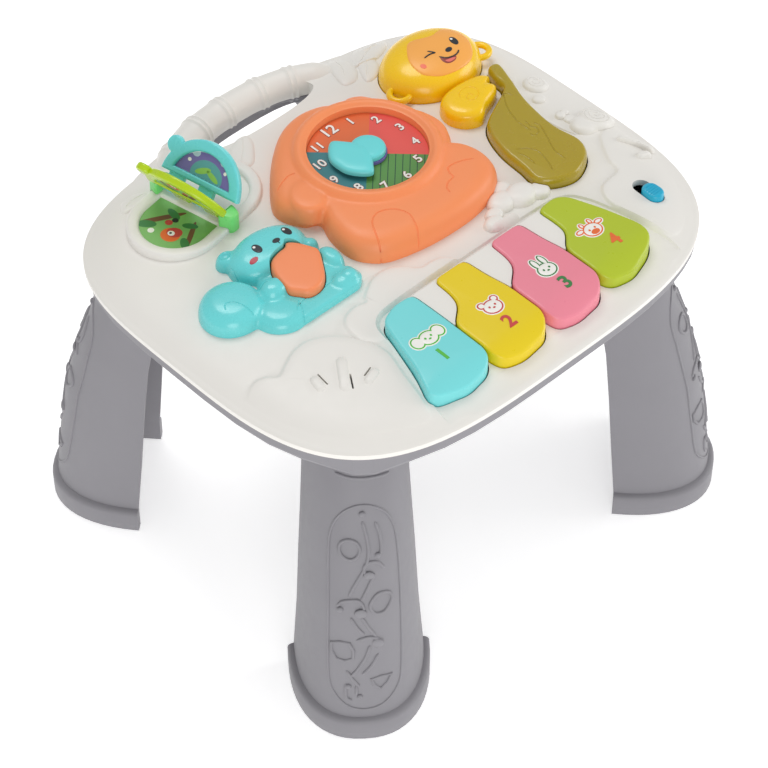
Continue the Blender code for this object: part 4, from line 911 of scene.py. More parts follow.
# Table top
@dataclass
class Deck:
    """The white top with its crown, reliefs, openings and the upper half of the handle."""

    half_width: float = 0.1865
    front_reach: float = 0.171
    back_reach: float = 0.148
    front_squareness: float = 3.57
    back_squareness: float = 3.6
    bulge: float = 0.007
    bulge_half_width: float = 0.095
    segments: int = 224
    parting: float = 0.246
    skirt_top: float = 0.2495
    crown_rise: float = 0.011
    wall: float = 0.0024
    hand_centre: Point = (0.004, 0.13025)
    hand_half: Size = (0.049, 0.01325)
    hand_squareness: float = 2.6
    cut_bottom: float = 0.24
    cut_height: float = 0.03
    opening_bottom: float = 0.243
    tray_edge: Points = (
        (-99, -178), (-97, -150), (-94, -134), (-87, -112), (-81, -92), (-78, -76), (-70, -69.5), (-50, -68),
        (-20, -67.5), (20, -67.5), (60, -67), (88, -68), (100, -73), (107, -86), (112, -104), (117, -124), (121, -144),
        (123, -178))
    tray_middle: Point = (12, -122)
    tray_corner: float = 0.006
    tray_rows: Rows = ((0.01, 0.01), (0, 0), (-0.0012, -0.0014), (-0.003, -0.0018))
    rosette_line: float = 0.0007
    twig_line: float = 0.0006
    profile: Rows = (
        (1, 0), (0.995, 0.055), (0.988, 0.1), (0.982, 0.125), (0.977, 0.155), (0.971, 0.2), (0.955, 0.3), (0.935, 0.43),
        (0.915, 0.53), (0.88, 0.65), (0.84, 0.76), (0.8, 0.84), (0.74, 0.91), (0.66, 0.965), (0.58, 0.99), (0.5, 1))
    grip_radius: float = 0.0115
    grip_half_span: float = 0.071
    grip_end: float = 0.079
    grip_taper: float = 0.016
    grip_y: float = 0.154
    grip_sag: float = 0.02
    grip_z: float = 0.25
    grip_rings: tuple[float, ...] = (-0.06, -0.0322, -0.0074, 0.0238, 0.0482)
    grip_bow: float = 2.4
    grip_drop: float = 0.002
    lip_away: float = 0.0021
    lip_width: float = 0.0011
    swell_width: float = 0.005
    cuts: list[Outline] = field(default_factory=list)
    reliefs: list[Piece] = field(default_factory=list)
    raised: list[Piece] = field(default_factory=list)
    hollows: list[tuple[Point, float]] = field(default_factory=list)
    twigs: list[Path] = field(default_factory=list)
    surface: Surface | None = None
    shell: Piece | None = None

    def rim_radius(self, angle: float) -> float:
        """Distance from the middle to the rim in one direction."""
        c, s = abs(math.cos(angle)), abs(math.sin(angle))
        front = math.sin(angle) < 0
        power = self.front_squareness if front else self.back_squareness
        reach = self.front_reach if front else self.back_reach
        return ((c / self.half_width) ** power + (s / reach) ** power) ** (-1 / power)

    def reach(self, x: float, y: float) -> float:
        """A place's share of the way from the middle to the rim."""
        return math.hypot(x, y) / self.rim_radius(math.atan2(y, x))

    def rim(self, count: int, inset: float = 0.0) -> Outline:
        """The table's outline.

        Args:
            count: Number of points.
            inset: How far inside the rim it runs.

        Returns:
            The outline.
        """
        points: Outline = []
        for i in range(count):
            even = 2 * math.pi * i / count
            angle = even + 0.45 * math.sin(4 * even) / 4
            radius = self.rim_radius(angle) - inset
            x, y = radius * math.cos(angle), radius * math.sin(angle)
            if y > 0 and abs(x) < self.bulge_half_width:
                y += self.bulge * (1 - abs(x / self.bulge_half_width) ** 3)
            points.append((x, y))
        return points

    def hand_outline(self, grow: float = 0.0) -> Outline:
        """The hand opening as a squared oval, grown if wanted."""
        (cx, cy), (half_x, half_y), power = self.hand_centre, self.hand_half, 2 / self.hand_squareness
        points: Outline = []
        for c, s in ((math.cos(a), math.sin(a)) for a in round_angles(72)):
            points.append((cx + math.copysign(abs(c) ** power, c) * (half_x + grow),
                           cy + math.copysign(abs(s) ** power, s) * (half_y + grow)))
        return points

    def grip_form(self, name: str, extra: float = 0.0) -> Piece:
        """The handle's bar, swelling at each bamboo ring.

        Args:
            name: The new object's name.
            extra: How much thicker than the solid one it is.

        Returns:
            The new object.
        """
        rings: list[list[Vector]] = []
        for i in range(241):
            x = self.grip_end * (2 * i / 240 - 1)
            share = abs(x / self.grip_half_span)
            slope = -self.grip_bow * self.grip_sag / self.grip_half_span * math.copysign(
                share ** (self.grip_bow - 1), x)
            away = min(abs(x - ring) for ring in self.grip_rings)
            lips = math.exp(-((away - self.lip_away) / self.lip_width) ** 2)
            swell = 0.035 * math.exp(-(away / self.swell_width) ** 2) + 0.075 * lips
            taper = max(0.0, 1 - (self.grip_end - abs(x)) / self.grip_taper) ** 1.6
            radius = (self.grip_radius + extra) * (1.0 + swell) * (1.0 - 0.5 * taper)
            side = Vector((-slope, 1.0, 0.0)).normalized()
            middle = Vector((x, self.grip_y - self.grip_sag * share ** self.grip_bow,
                             self.grip_z - self.grip_drop * taper))
            rings.append([middle + side * radius * math.cos(a) + Vector((0, 0, radius * math.sin(a)))
                          for a in round_angles(40)])
        return skin(name, rings)

    def crown(self, name: str, raise_by: float = 0.0, inset: float = 0.0, bottom: float = 0.0,
              count: int = 0) -> Piece:
        """The crowned form of the top, or of the space inside it."""
        levels = [(1.0, bottom or self.parting)]
        levels += [(share, self.skirt_top + raise_by + self.crown_rise * rise) for share, rise in self.profile]
        return loft(name, self.rim(count or self.segments, inset), (0.0, 0.0), levels)

    def build(self) -> None:
        """Build the crown and keep its surface for the pieces that sit on it."""
        self.shell = self.crown("deck")
        self.surface = Surface(self.shell)

    def tray(self) -> None:
        """Sink the tray that the keys stand in, out to the front rim."""
        outline = round_corners(mm_points(*self.tray_edge), self.tray_corner, 4)
        low, floor = self.tray_rows[-1]
        rows = [(grow, 1.0, rise) for grow, rise in self.tray_rows]
        rows += [(low, share / 10, floor) for share in range(9, 0, -1)]
        rings: list[list[Vector]] = []
        for grow, share, rise in rows:
            ring: list[Vector] = []
            for x, y in scaled(offset_outline(outline, grow), mm(*self.tray_middle), share):
                pull = min(1.0, 0.955 * self.rim_radius(math.atan2(y, x)) / math.hypot(x, y))
                ring.append(Vector((x, y, self.surface.height(x * pull, y * pull) + rise)))
            rings.append(ring)
        combine(self.shell, set_outwards(skin("tray_cut", rings)), Combine.CUT)

    def half_space(self, name: str, bottom: float, height: float) -> Piece:
        """A block over the whole back half, to cut the handle's bar with."""
        return plate(name, [[(-0.2, 0.0), (0.2, 0.0), (0.2, 0.3), (-0.2, 0.3)]], bottom, height)

    def finish(self) -> None:
        """Join the reliefs and the handle, hollow the top, cut its openings and dress it."""
        for relief in self.reliefs:
            combine(self.shell, relief, Combine.ADD)
        lay = Surface(self.shell)
        for middle, radius in self.hollows:
            ring = lay.along(circle(middle, radius, 40), GROOVE_LIFT)
            combine(self.shell, wires("rosette_ring", [ring + ring[:1]], self.rosette_line, taper=False), Combine.CUT)
        for path in self.twigs:
            combine(self.shell, wires("twig_line", [lay.along(path, GROOVE_LIFT)], self.twig_line), Combine.CUT)
        self.tray()
        for block in self.raised:
            combine(self.shell, block, Combine.ADD)
        inside = self.crown("deck_inside", -self.wall, self.wall, self.parting - 0.003, 112)
        combine(inside, plate("hand_wall", [self.hand_outline(self.wall)], self.cut_bottom, self.cut_height),
                Combine.CUT)
        combine(self.shell, inside, Combine.CUT)
        combine(self.shell, plate("hand_cut", [self.hand_outline()], self.cut_bottom, self.cut_height), Combine.CUT)
        grip = self.grip_form("grip")
        combine(grip, self.half_space("grip_below", 0.2, self.parting - 0.2), Combine.CUT)
        combine(self.shell, grip, Combine.ADD)
        for number, outline in enumerate(self.cuts):
            combine(self.shell, plate(f"deck_cut_{number}", [outline], self.opening_bottom, self.cut_height),
                    Combine.CUT)
        fit(self.shell, Finish.WHITE, "table", "white_shell", "top_shell")
        lower = self.grip_form("grip_underside", 0.0001)
        combine(lower, self.half_space("grip_above", self.parting - 0.0003, 0.1), Combine.CUT)
        fit(lower, Finish.GREY, "table", "grey_shell")


# Legs
@dataclass
class Legs:
    """Four splayed legs, each a bent wall with a foot band and a raised panel of musical shapes."""

    place: Point = (0.1279, 0.11)
    direction: float = math.radians(50.4)
    height: float = 0.238
    depth: float = 0.0655
    half_width: float = 0.044
    lean: float = 0.028
    wall: float = 0.003
    squareness: float = 2.3
    arc_steps: int = 28
    foot_overhang: float = 0.0043
    relief_radius: float = 0.0012
    panel_line: float = 0.0009
    bead_height: float = 0.0016
    foot_chamfer: float = 0.001
    foot_rows: Rows = ((0.001, 1), (0.008, 1), (0.015, 1), (0.0168, 0.88), (0.0181, 0.6), (0.0188, 0.25), (0.0191, 0))
    wall_bottom: float = 0.024
    panel: Points = (
        (1.5, 188), (-7, 185.5), (-14, 178.5), (-18.6, 167), (-20.3, 150), (-21.2, 120), (-22.2, 85), (-22.6, 52),
        (-19.5, 39), (-11, 29.5), (1, 26.5), (13.5, 29.5), (22.5, 39), (25.4, 52), (25.8, 85), (25.2, 120), (24, 150),
        (21.8, 167), (17.2, 178.5), (10, 185.5))
    lines: tuple[Points, ...] = (
        ((-14.6, 207.8), (-7, 206.1), (1.3, 205.2), (11, 204.8), (19.7, 203.8)),
        ((1.5, 177), (3.9, 167), (5, 156), (3.3, 147), (-0.5, 139.3), (-5, 131), (-8.2, 123.4)),
        ((9.6, 175.5), (12.4, 166.5), (13.2, 157), (12.3, 152)),
        ((8.5, 140), (6.1, 134.4), (2.9, 127.3), (-0.4, 120.7)),
        ((2.2, 140.3), (2.1, 146), (5.8, 148.7), (10.7, 147.6), (15, 141.6)),
        ((-15.7, 114.5), (-11.9, 119.4), (-3.4, 121.1), (0.2, 117.8), (1.3, 113.2)),
        ((-7.4, 107.4), (-3.8, 99.7), (1, 93.4)), ((-0.6, 108.3), (3.6, 99.3), (8.5, 90.6)),
        ((-4, 88.2), (4.7, 90.8), (12.2, 85.5), (9, 80.6)), ((4.6, 83.4), (1.9, 74.2), (-3.2, 64.3), (-8.3, 56.7)),
        ((10.2, 75.3), (5.6, 66.5), (-0.8, 58.6)), ((-11, 61.5), (-6.5, 53.5), (-2.8, 47.8)),
        ((-4.8, 48.4), (-4.8, 39.5)), ((-11.6, 49.3), (-11.7, 37.7), (-8, 34.6)))
    rings: tuple[Points, ...] = (
        ((-7, 164.6), (-2.4, 162.6), (-0.4, 157.8), (-2.4, 153), (-7, 151), (-11.6, 153), (-13.6, 157.8),
         (-11.6, 162.6)),
        ((5.2, 117), (10.3, 124.2), (17.2, 122.6), (19.4, 116.4), (14.4, 109.6), (7.6, 110.6)),
        ((-20.2, 82), (-8.6, 85.6), (-6.6, 72.6), (-17.4, 70.2)),
        ((5.2, 53.8), (18.4, 53.4), (11.2, 43.6)))
    beads: Rows = (
        (10.9, 152.6, 2.2), (4.8, 139, 3.6), (-14, 112.6, 2.4), (-1, 110.8, 4.2), (9.6, 84.6, 4.2), (-10, 47.4, 2.2),
        (-2.6, 38.6, 2), (1.6, 182, 2.2))
    levels: Rows = (
        (0.0769, 0, 1, 1), (0.26, 0.16, 0.985, 0.927), (0.46, 0.32, 0.931, 0.875), (0.63, 0.48, 0.824, 0.823),
        (0.8, 0.75, 0.71, 0.773), (0.95, 0.96, 0.565, 0.727), (1, 1, 0.534, 0.716))

    def measures(self, z: float) -> tuple[float, float, float]:
        """Lean, depth and half width at one height."""
        rise = max(z / self.height, self.levels[0][0])
        for low, high in zip(self.levels, self.levels[1:]):
            if rise <= high[0]:
                break
        part = min(1.0, (rise - low[0]) / (high[0] - low[0]))
        lean, depth, half = (a + (b - a) * part for a, b in zip(low[1:], high[1:]))
        return lean * self.lean, depth * self.depth, half * self.half_width

    def section(self, z: float, grow: float = 0.0) -> list[Vector]:
        """One section of the wall, outside and back inside.

        Args:
            z: Its height.
            grow: How far the outside is thickened.

        Returns:
            The points, with x outwards and y along the wall.
        """
        lean, depth, half = self.measures(z)
        points: list[Vector] = []
        for walk, deep, wide in ((1, depth + grow, half + grow), (-1, depth - self.wall, half - self.wall)):
            for i in range(self.arc_steps + 1):
                t = walk * math.pi * (i / self.arc_steps - 0.5)
                out = deep * max(0.0, math.cos(t)) ** (2 / self.squareness) - lean
                side = math.copysign(wide * abs(math.sin(t)) ** (2 / self.squareness), math.sin(t))
                points.append(Vector((out, side, z)))
        return points

    def on_wall(self, side: float, z: float, lift: float) -> Vector:
        """A point on the outer face, raised a little off it."""
        lean, depth, half = self.measures(z)
        out = depth * (1 - min(0.99, abs(side / half)) ** self.squareness) ** (1 / self.squareness)
        return Vector((out - lean + lift, side, z))

    def trace(self, points: Points, closed: bool, steps: int = 6) -> list[Vector]:
        """A smooth line on the outer face through points given in millimetres."""
        path = mm_curve(points, steps, closed)
        path = path + path[:1] if closed else path
        return [self.on_wall(side, z, -0.0001) for side, z in path]

    def bead(self, side: float, z: float, radius: float) -> Piece:
        """A round flattened note head on the outer face."""
        middle = self.on_wall(side, z, 0.0)
        rings: list[list[Vector]] = []
        for angle in (math.pi * k / 12 for k in range(1, 12)):
            out, wide = self.bead_height * math.cos(angle), radius * math.sin(angle)
            rings.append([middle + Vector((out, wide * math.cos(a), wide * math.sin(a))) for a in round_angles(20)])
        return skin("note_head", rings)

    def reliefs(self) -> Piece:
        """The raised lines, rings and note heads of one leg."""
        open_lines = [self.trace(points, False) for points in self.lines]
        closed_lines = [self.trace(points, True, 2 if len(points) < 5 else 4) for points in self.rings]
        return merge("leg_reliefs", [wires("leg_lines", open_lines, self.relief_radius),
                                     wires("leg_rings", closed_lines, self.relief_radius),
                                     wires("leg_panel_edge", [self.trace(self.panel, True)], self.panel_line),
                                     *(self.bead(*mm(*bead)) for bead in self.beads)])

    def build(self) -> None:
        """Build one leg and set a copy at each corner."""
        over, low = self.foot_overhang, self.wall_bottom
        rings = [self.section(0.0, over - self.foot_chamfer)]
        rings += [self.section(z, over * share) for z, share in self.foot_rows]
        rings += [self.section(low + (self.height - low) * i / 27) for i in range(28)]
        wall = skin("leg", rings)
        reliefs = self.reliefs()
        for sign_x, sign_y, name in ((-1, -1, "leg_front_left"), (1, -1, "leg_front_right"), (-1, 1, "leg_back_left"),
                                     (1, 1, "leg_back_right")):
            place = (Matrix.Diagonal((sign_x, sign_y, 1, 1)) @ Matrix.Translation((*self.place, 0.0))
                     @ Matrix.Rotation(self.direction, 4, 'Z') @ Matrix.Diagonal((1, sign_x * sign_y, 1, 1)))
            fit(moved_copy(wall, f"{name}_wall", place), Finish.GREY, "table", "grey_shell", name, degrees=50.0)
            fit(moved_copy(reliefs, f"{name}_reliefs", place), Finish.GREY, "table", "grey_shell", degrees=60.0)
        bpy.data.objects.remove(wall)
        bpy.data.objects.remove(reliefs)


# Piano keys
@dataclass(frozen=True)
class Badge:
    """The print on one key: a round animal face with ears, and the key's number."""

    number: str
    ink: Finish
    face: Point
    figure: Point
    ears: Rows
    muzzle: bool = False
    head: Size = (6.6, 5.8)
    bands: tuple[tuple[float, int], ...] = ((1.3, 0), (0.5, 1), (-0.45, 2))
    eyes: Rows = ((-2.4, 0.6, 0.75, 0.95), (2.4, 0.6, 0.75, 0.95))
    nose: tuple[float, ...] = (0, -1.3, 1, 0.7)
    snout: tuple[float, ...] = (0, -2.6, 3.3, 2.3)

    def parts(self) -> list[tuple[Outline, Finish, int]]:
        """Outlines in the plan, each with its ink and its layer."""
        cx, cy = mm(*self.face)
        shapes: list[tuple[Outline, Finish, int]] = []
        for grow, layer in self.bands:
            for dx, dy, rx, ry in ((0, 0, *self.head), *self.ears):
                oval = ellipse((cx + dx * 0.001, cy + dy * 0.001), mm(rx + grow, ry + grow), 32)
                shapes.append((oval, self.ink if layer == 1 else Finish.INK_WHITE, layer))
        return shapes + [(ellipse((cx + dx * 0.001, cy + dy * 0.001), mm(rx, ry), 20), self.ink, 3)
                         for dx, dy, rx, ry in (*self.eyes, self.snout if self.muzzle else self.nose)]


@dataclass
class Keys:
    """Four piano keys, each with its badge, and the white blocks between their backs."""

    pitch: float = 0.0499
    length: float = 0.082
    first_x: float = -0.0951
    back_y: float = -0.074
    corner: float = 0.006
    bottom: float = 0.2521
    rise: float = 0.0154
    radius: float = 0.0017
    roll: float = 0.0062
    roll_length: float = 0.021
    half_gap: float = 0.0004
    crown_shares: tuple[float, ...] = (0.94, 0.86, 0.74, 0.58, 0.4, 0.22, 0.08)
    crown_step: float = 0.004
    middle_share: Point = (0.56, 0.62)
    figure_size: float = 0.0145
    figure_weight: float = 0.0004
    print_rise: float = 0.00015
    layer_rise: float = 0.0001
    shape_rise: float = 0.000004
    block_corner: float = 0.0014
    block_bottom: float = 0.25
    block_height: float = 0.0162
    block_edge: float = 0.001
    outlines: tuple[Points, ...] = (
        ((0.99, 0), (0.66, 0.01), (0.38, -0.06), (0.26, -0.29), (0.13, -0.57), (-0.05, -0.83), (0.02, -0.9),
         (0.46, -0.965), (0.85, -0.93), (1, -0.84), (1, -0.47), (1, -0.25)),
        *(((0.91, 0), (0.36, 0), (0.34, -0.22), (0.28, -0.33), (0, -0.47), (0, -0.84), (0.07, -0.96),
           (0.37, -1), (0.82, -0.97), (1, -0.84), (1, -0.46), (0.94, -0.25)),) * 2,
        ((0.59, 0.02), (0.25, 0), (0.26, -0.2), (0.24, -0.33), (0, -0.47), (0, -0.84), (0.1, -0.93),
         (0.43, -0.965), (0.87, -0.88), (1.05, -0.79), (1.07, -0.66), (0.93, -0.35), (0.75, -0.05)))
    blocks: tuple[Points, ...] = (
        ((0.95, 0), (1.4, 0), (1.4, -0.34), (1.16, -0.46), (0.95, -0.46)),
        ((1.86, 0), (2.4, 0), (2.4, -0.34), (2.16, -0.46), (1.95, -0.46)),
        ((2.86, 0), (3.4, 0), (3.3, -0.34), (3.16, -0.46), (2.95, -0.46)))
    finishes: tuple[Finish, ...] = (Finish.KEY_CYAN, Finish.KEY_YELLOW, Finish.KEY_PINK, Finish.KEY_GREEN)
    slots: tuple[str, ...] = ("key_cyan", "key_yellow", "key_pink", "key_green")
    badges: tuple[Badge, ...] = (
        Badge("1", Finish.INK_GREEN, (-65.5, -110), (-69, -126.5), ((-8.6, 1, 4.2, 4.8), (8.6, 1, 4.2, 4.8))),
        Badge("2", Finish.INK_RED, (-17, -118), (-18.5, -134), ((-5.4, 5, 2.4, 2.4), (5.4, 5, 2.4, 2.4))),
        Badge("3", Finish.INK_FOREST, (32, -118), (32.5, -134), ((-2.8, 8.2, 1.9, 4.6), (3.6, 8.2, 1.9, 4.6))),
        Badge("4", Finish.INK_ORANGE, (80, -112.5), (84, -128.5),
              ((-8.2, 3.4, 2.8, 1.7), (8.2, 3.4, 2.8, 1.7), (-3.6, 7, 1.2, 2), (3.6, 7, 1.2, 2)), True))

    def in_plan(self, shares: Points, number: int = 0) -> Outline:
        """Shares of a key's pitch and length, set at one key's back left corner."""
        return placed(shares, (self.first_x + self.pitch * number, self.back_y), (self.pitch, self.length))

    def outline(self, number: int, grow: float) -> Outline:
        """One key's outline, grown if wanted."""
        return offset_outline(round_corners(self.in_plan(self.outlines[number], number), self.corner, 5), grow)

    def key(self, number: int) -> Piece:
        """Model one key, with soft edges and its front end rolled down.

        Args:
            number: Its place from the left, from nought.

        Returns:
            The key.
        """
        edge = self.outline(number, -self.half_gap)
        front = min(y for _, y in edge)
        middle = (self.first_x + self.pitch * (number + self.middle_share[0]),
                  self.back_y - self.length * self.middle_share[1])
        rows = [(0.0, 0.0, 1.0)]
        rows += [(self.radius * (1 - math.cos(a)), 1 - self.radius * (1 - math.sin(a)) / self.rise, 1.0)
                 for a in corner_angles(6)]
        rows += [(self.radius, 1.0 + self.crown_step * k, share) for k, share in enumerate(self.crown_shares)]
        rings: list[list[Vector]] = []
        for inset, share, shrink in rows:
            ring = scaled(offset_outline(edge, -inset), middle, shrink)
            rings.append([Vector((x, y, self.bottom + self.rise * share - self.roll * share
                                  * max(0.0, 1 - (y - front) / self.roll_length) ** 2)) for x, y in ring])
        return skin(f"piano_key_{number + 1}", rings)

    def build(self, deck: Deck) -> None:
        """Build the keys and their prints, and cut their openings in the deck."""
        for number, badge in enumerate(self.badges):
            body, slot = f"key_{number + 1}", self.slots[number]
            piece = self.key(number)
            top = Surface(piece)
            printed: dict[Finish, list[Piece]] = {}
            for order, (outline, ink, layer) in enumerate(badge.parts()):
                rise = self.print_rise + self.layer_rise * layer + self.shape_rise * order
                printed.setdefault(ink, []).append(print_on("badge", outline, top, rise))
            figure = letters("figure", badge.number, mm(*badge.figure), self.figure_size, self.figure_weight)
            printed[badge.ink].append(top.drape(figure))
            for ink, shapes in printed.items():
                fit(merge(f"badge_{number + 1}_{ink.name.lower()}", shapes), ink, body, slot)
            fit(piece, self.finishes[number], body, slot, body)
            deck.cuts.append(self.outline(number, self.half_gap))
        for corners in self.blocks:
            foot = round_corners(self.in_plan(corners), self.block_corner, 4)
            deck.raised.append(plate("key_block", [foot], self.block_bottom, self.block_height, self.block_edge, 3))


# Clock
@dataclass
class Clock:
    """The animal-shaped housing with its dial, numbers and turning pointer."""

    centre: Point = (0.0115, 0.026)
    half_size: Size = (0.0685, 0.073)
    base: float = 0.2605
    height: float = 0.018
    outline_shares: Points = (
        (-0.81, -0.73), (-0.64, -0.88), (-0.28, -0.97), (0.07, -1), (0.39, -0.99), (0.71, -0.92), (0.91, -0.78),
        (0.97, -0.59), (0.93, -0.41), (0.84, -0.29), (0.93, -0.16), (1, 0), (0.97, 0.22), (0.85, 0.44), (0.77, 0.63),
        (0.68, 0.79), (0.55, 0.86), (0.42, 0.85), (0.24, 0.96), (-0.02, 1), (-0.31, 0.92), (-0.64, 0.68), (-0.93, 0.37),
        (-1, 0.18), (-0.9, -0.04), (-0.77, -0.12), (-0.84, -0.32), (-0.87, -0.56))
    profile: Rows = (
        (1, -0.45), (1, 0.15), (0.993, 0.42), (0.972, 0.66), (0.935, 0.84), (0.88, 0.94), (0.8, 0.985), (0.55, 1))
    dial_centre: Point = (0.0187, 0.0354)
    dial_floor: float = 0.2736
    dial_radius: float = 0.0406
    dial_bottom: float = 0.2739
    dial_top: float = 0.2754
    ring_radius: float = 0.0505
    ring_profile: Rows = (
        (1, -0.9), (1, -0.2), (0.99, 0.35), (0.955, 0.75), (0.92, 0.93), (0.885, 0.93), (0.85, 0.72), (0.82, 0.45),
        (0.6, 0.4))
    ring_height: float = 0.0045
    creases: tuple[Points, ...] = (
        ((-41.3, -48.3), (-34.6, -31.9), (-28.5, -19.5), (-22.5, -14.2), (-15.6, -13.7), (-7.7, -18.6), (-4.2, -27.1),
         (-6, -34.5), (-9.3, -41.7), (-19.7, -56.1)),
        ((64.1, -18.7), (57, -15.2), (49.9, -13.4), (44.6, -14), (42, -18.5), (41.2, -22.5), (35.6, -23.6), (31, -27),
         (29.5, -31.4)),
        ((-50, 49), (-38, 52.5), (-31.6, 51.6)))
    number_radius: float = 0.0338
    number_sizes: Point = (0.0098, 0.0124)
    number_kinds: tuple[tuple[str, float, float], ...] = (("figure", 0.0002, 0.00022), ("edge", 0.0005, 0.00008))
    number_thickness: float = 0.0003
    melt_cell: float = 0.00125
    crease_radius: float = 0.00065
    well_gap: float = 0.0003
    arm_centre: Point = (-38.5, 31)
    arm_half: Size = (16.5, 14)
    arm_turn: float = math.radians(60)
    arm_lift: float = 0.004
    arm_height: float = 0.015
    arm_profile: Rows = ((1, 0), (0.99, 0.55), (0.93, 0.82), (0.8, 0.95), (0.5, 1))
    disc_radius: float = 0.013
    disc_bottom: float = 0.2757
    disc_top: float = 0.2779
    disc_edge: float = 0.0006
    knob_profile: Rows = ((1, 0), (1, 0.3), (0.98, 0.55), (0.91, 0.78), (0.78, 0.92), (0.58, 0.99), (0.3, 1))
    leaf_shares: Points = (
        (0, -1), (0.45, -0.72), (0.85, -0.35), (1, 0), (0.85, 0.38), (0.45, 0.74), (0, 1), (-0.6, 0.72), (-0.95, 0.36),
        (-1, 0), (-0.92, -0.4), (-0.5, -0.8))
    leaf_half: Size = (0.013, 0.0205)
    leaf_away: float = 0.0145
    leaf_bottom: float = 0.2785
    leaf_height: float = 0.0051
    lobe_radius: float = 0.0122
    lobe_bottom: float = 0.2782
    lobe_height: float = 0.0046

    def housing(self) -> Piece:
        """Model the housing as one soft body with its dial well and engraved lines."""
        outline = shaped(self.outline_shares, self.centre, self.half_size, 7)
        body = dome("clock_body", outline, self.centre, self.base, self.height, self.profile)
        ring = dome("clock_ring", circle(self.dial_centre, self.ring_radius, 96), self.dial_centre,
                    self.base + self.height, self.ring_height, self.ring_profile)
        arm_centre = mm(*self.arm_centre)
        arm = dome("clock_arm", ellipse(arm_centre, mm(*self.arm_half), 48, self.arm_turn), arm_centre,
                   self.base + self.arm_lift, self.arm_height, self.arm_profile)
        soft = melt("clock_housing_shown", [body, ring, arm], self.melt_cell, 5)
        well = circle(self.dial_centre, self.dial_radius + self.well_gap, 96)
        combine(soft, plate("dial_well", [well], self.dial_floor, 0.03), Combine.CUT)
        return engrave(soft, "clock_creases", [mm_curve(points, 8, False) for points in self.creases],
                       self.crease_radius)

    def dial(self) -> None:
        """The printed plate and its twelve numbers, each with a dark edge."""
        sheet = plate("dial_sheet", [circle(self.dial_centre, self.dial_radius, 96)], self.dial_bottom,
                      self.dial_top - self.dial_bottom)
        with editing(sheet):
            bpy.ops.mesh.quads_convert_to_tris()
        fit(sheet, Finish.DIAL, "table", "dial_print", "dial_plate")
        made: dict[str, list[Piece]] = {kind: [] for kind, _, _ in self.number_kinds}
        for hour in range(1, 13):
            angle = math.radians(97 - 30 * hour)
            place = (self.dial_centre[0] + self.number_radius * math.cos(angle),
                     self.dial_centre[1] + self.number_radius * math.sin(angle))
            for kind, weight, rise in self.number_kinds:
                word = letters(f"{kind}_{hour}", str(hour), place, self.number_sizes[hour == 12], weight,
                               self.number_thickness)
                word.data.transform(Matrix.Translation((0, 0, self.dial_top + rise)))
                made[kind].append(word)
        fit(merge("dial_numbers", made["figure"]), Finish.INK_WHITE, "table", "dial_print")
        fit(merge("dial_number_edges", made["edge"]), Finish.INK_BRICK, "table", "dial_print")

    def knob(self) -> None:
        """The purple disc and the pointer knob over it."""
        x, y = self.dial_centre
        disc = rounded_block("knob_disc_shown", circle((x, y), self.disc_radius, 64), self.disc_bottom, self.disc_top,
                             self.disc_edge, 3)
        fit(disc, Finish.PURPLE, "clock_knob", "purple_plastic", "knob_disc")
        leaf_centre = (x - self.leaf_away, y)
        leaf = dome("knob_leaf", shaped(self.leaf_shares, leaf_centre, self.leaf_half, 6), leaf_centre,
                    self.leaf_bottom, self.leaf_height, self.knob_profile)
        lobe = dome("knob_lobe", circle((x, y), self.lobe_radius, 64), (x, y), self.lobe_bottom, self.lobe_height,
                    self.knob_profile)
        fit(combine(leaf, lobe, Combine.ADD), Finish.KNOB, "clock_knob", "cyan_plastic", "clock_knob", degrees=50.0)

    def build(self, deck: Deck) -> None:
        """Build the clock, which stands on the deck."""
        fit(self.housing(), Finish.ORANGE, "table", "orange_housing", "clock_housing", degrees=42.0)
        self.dial()
        self.knob()


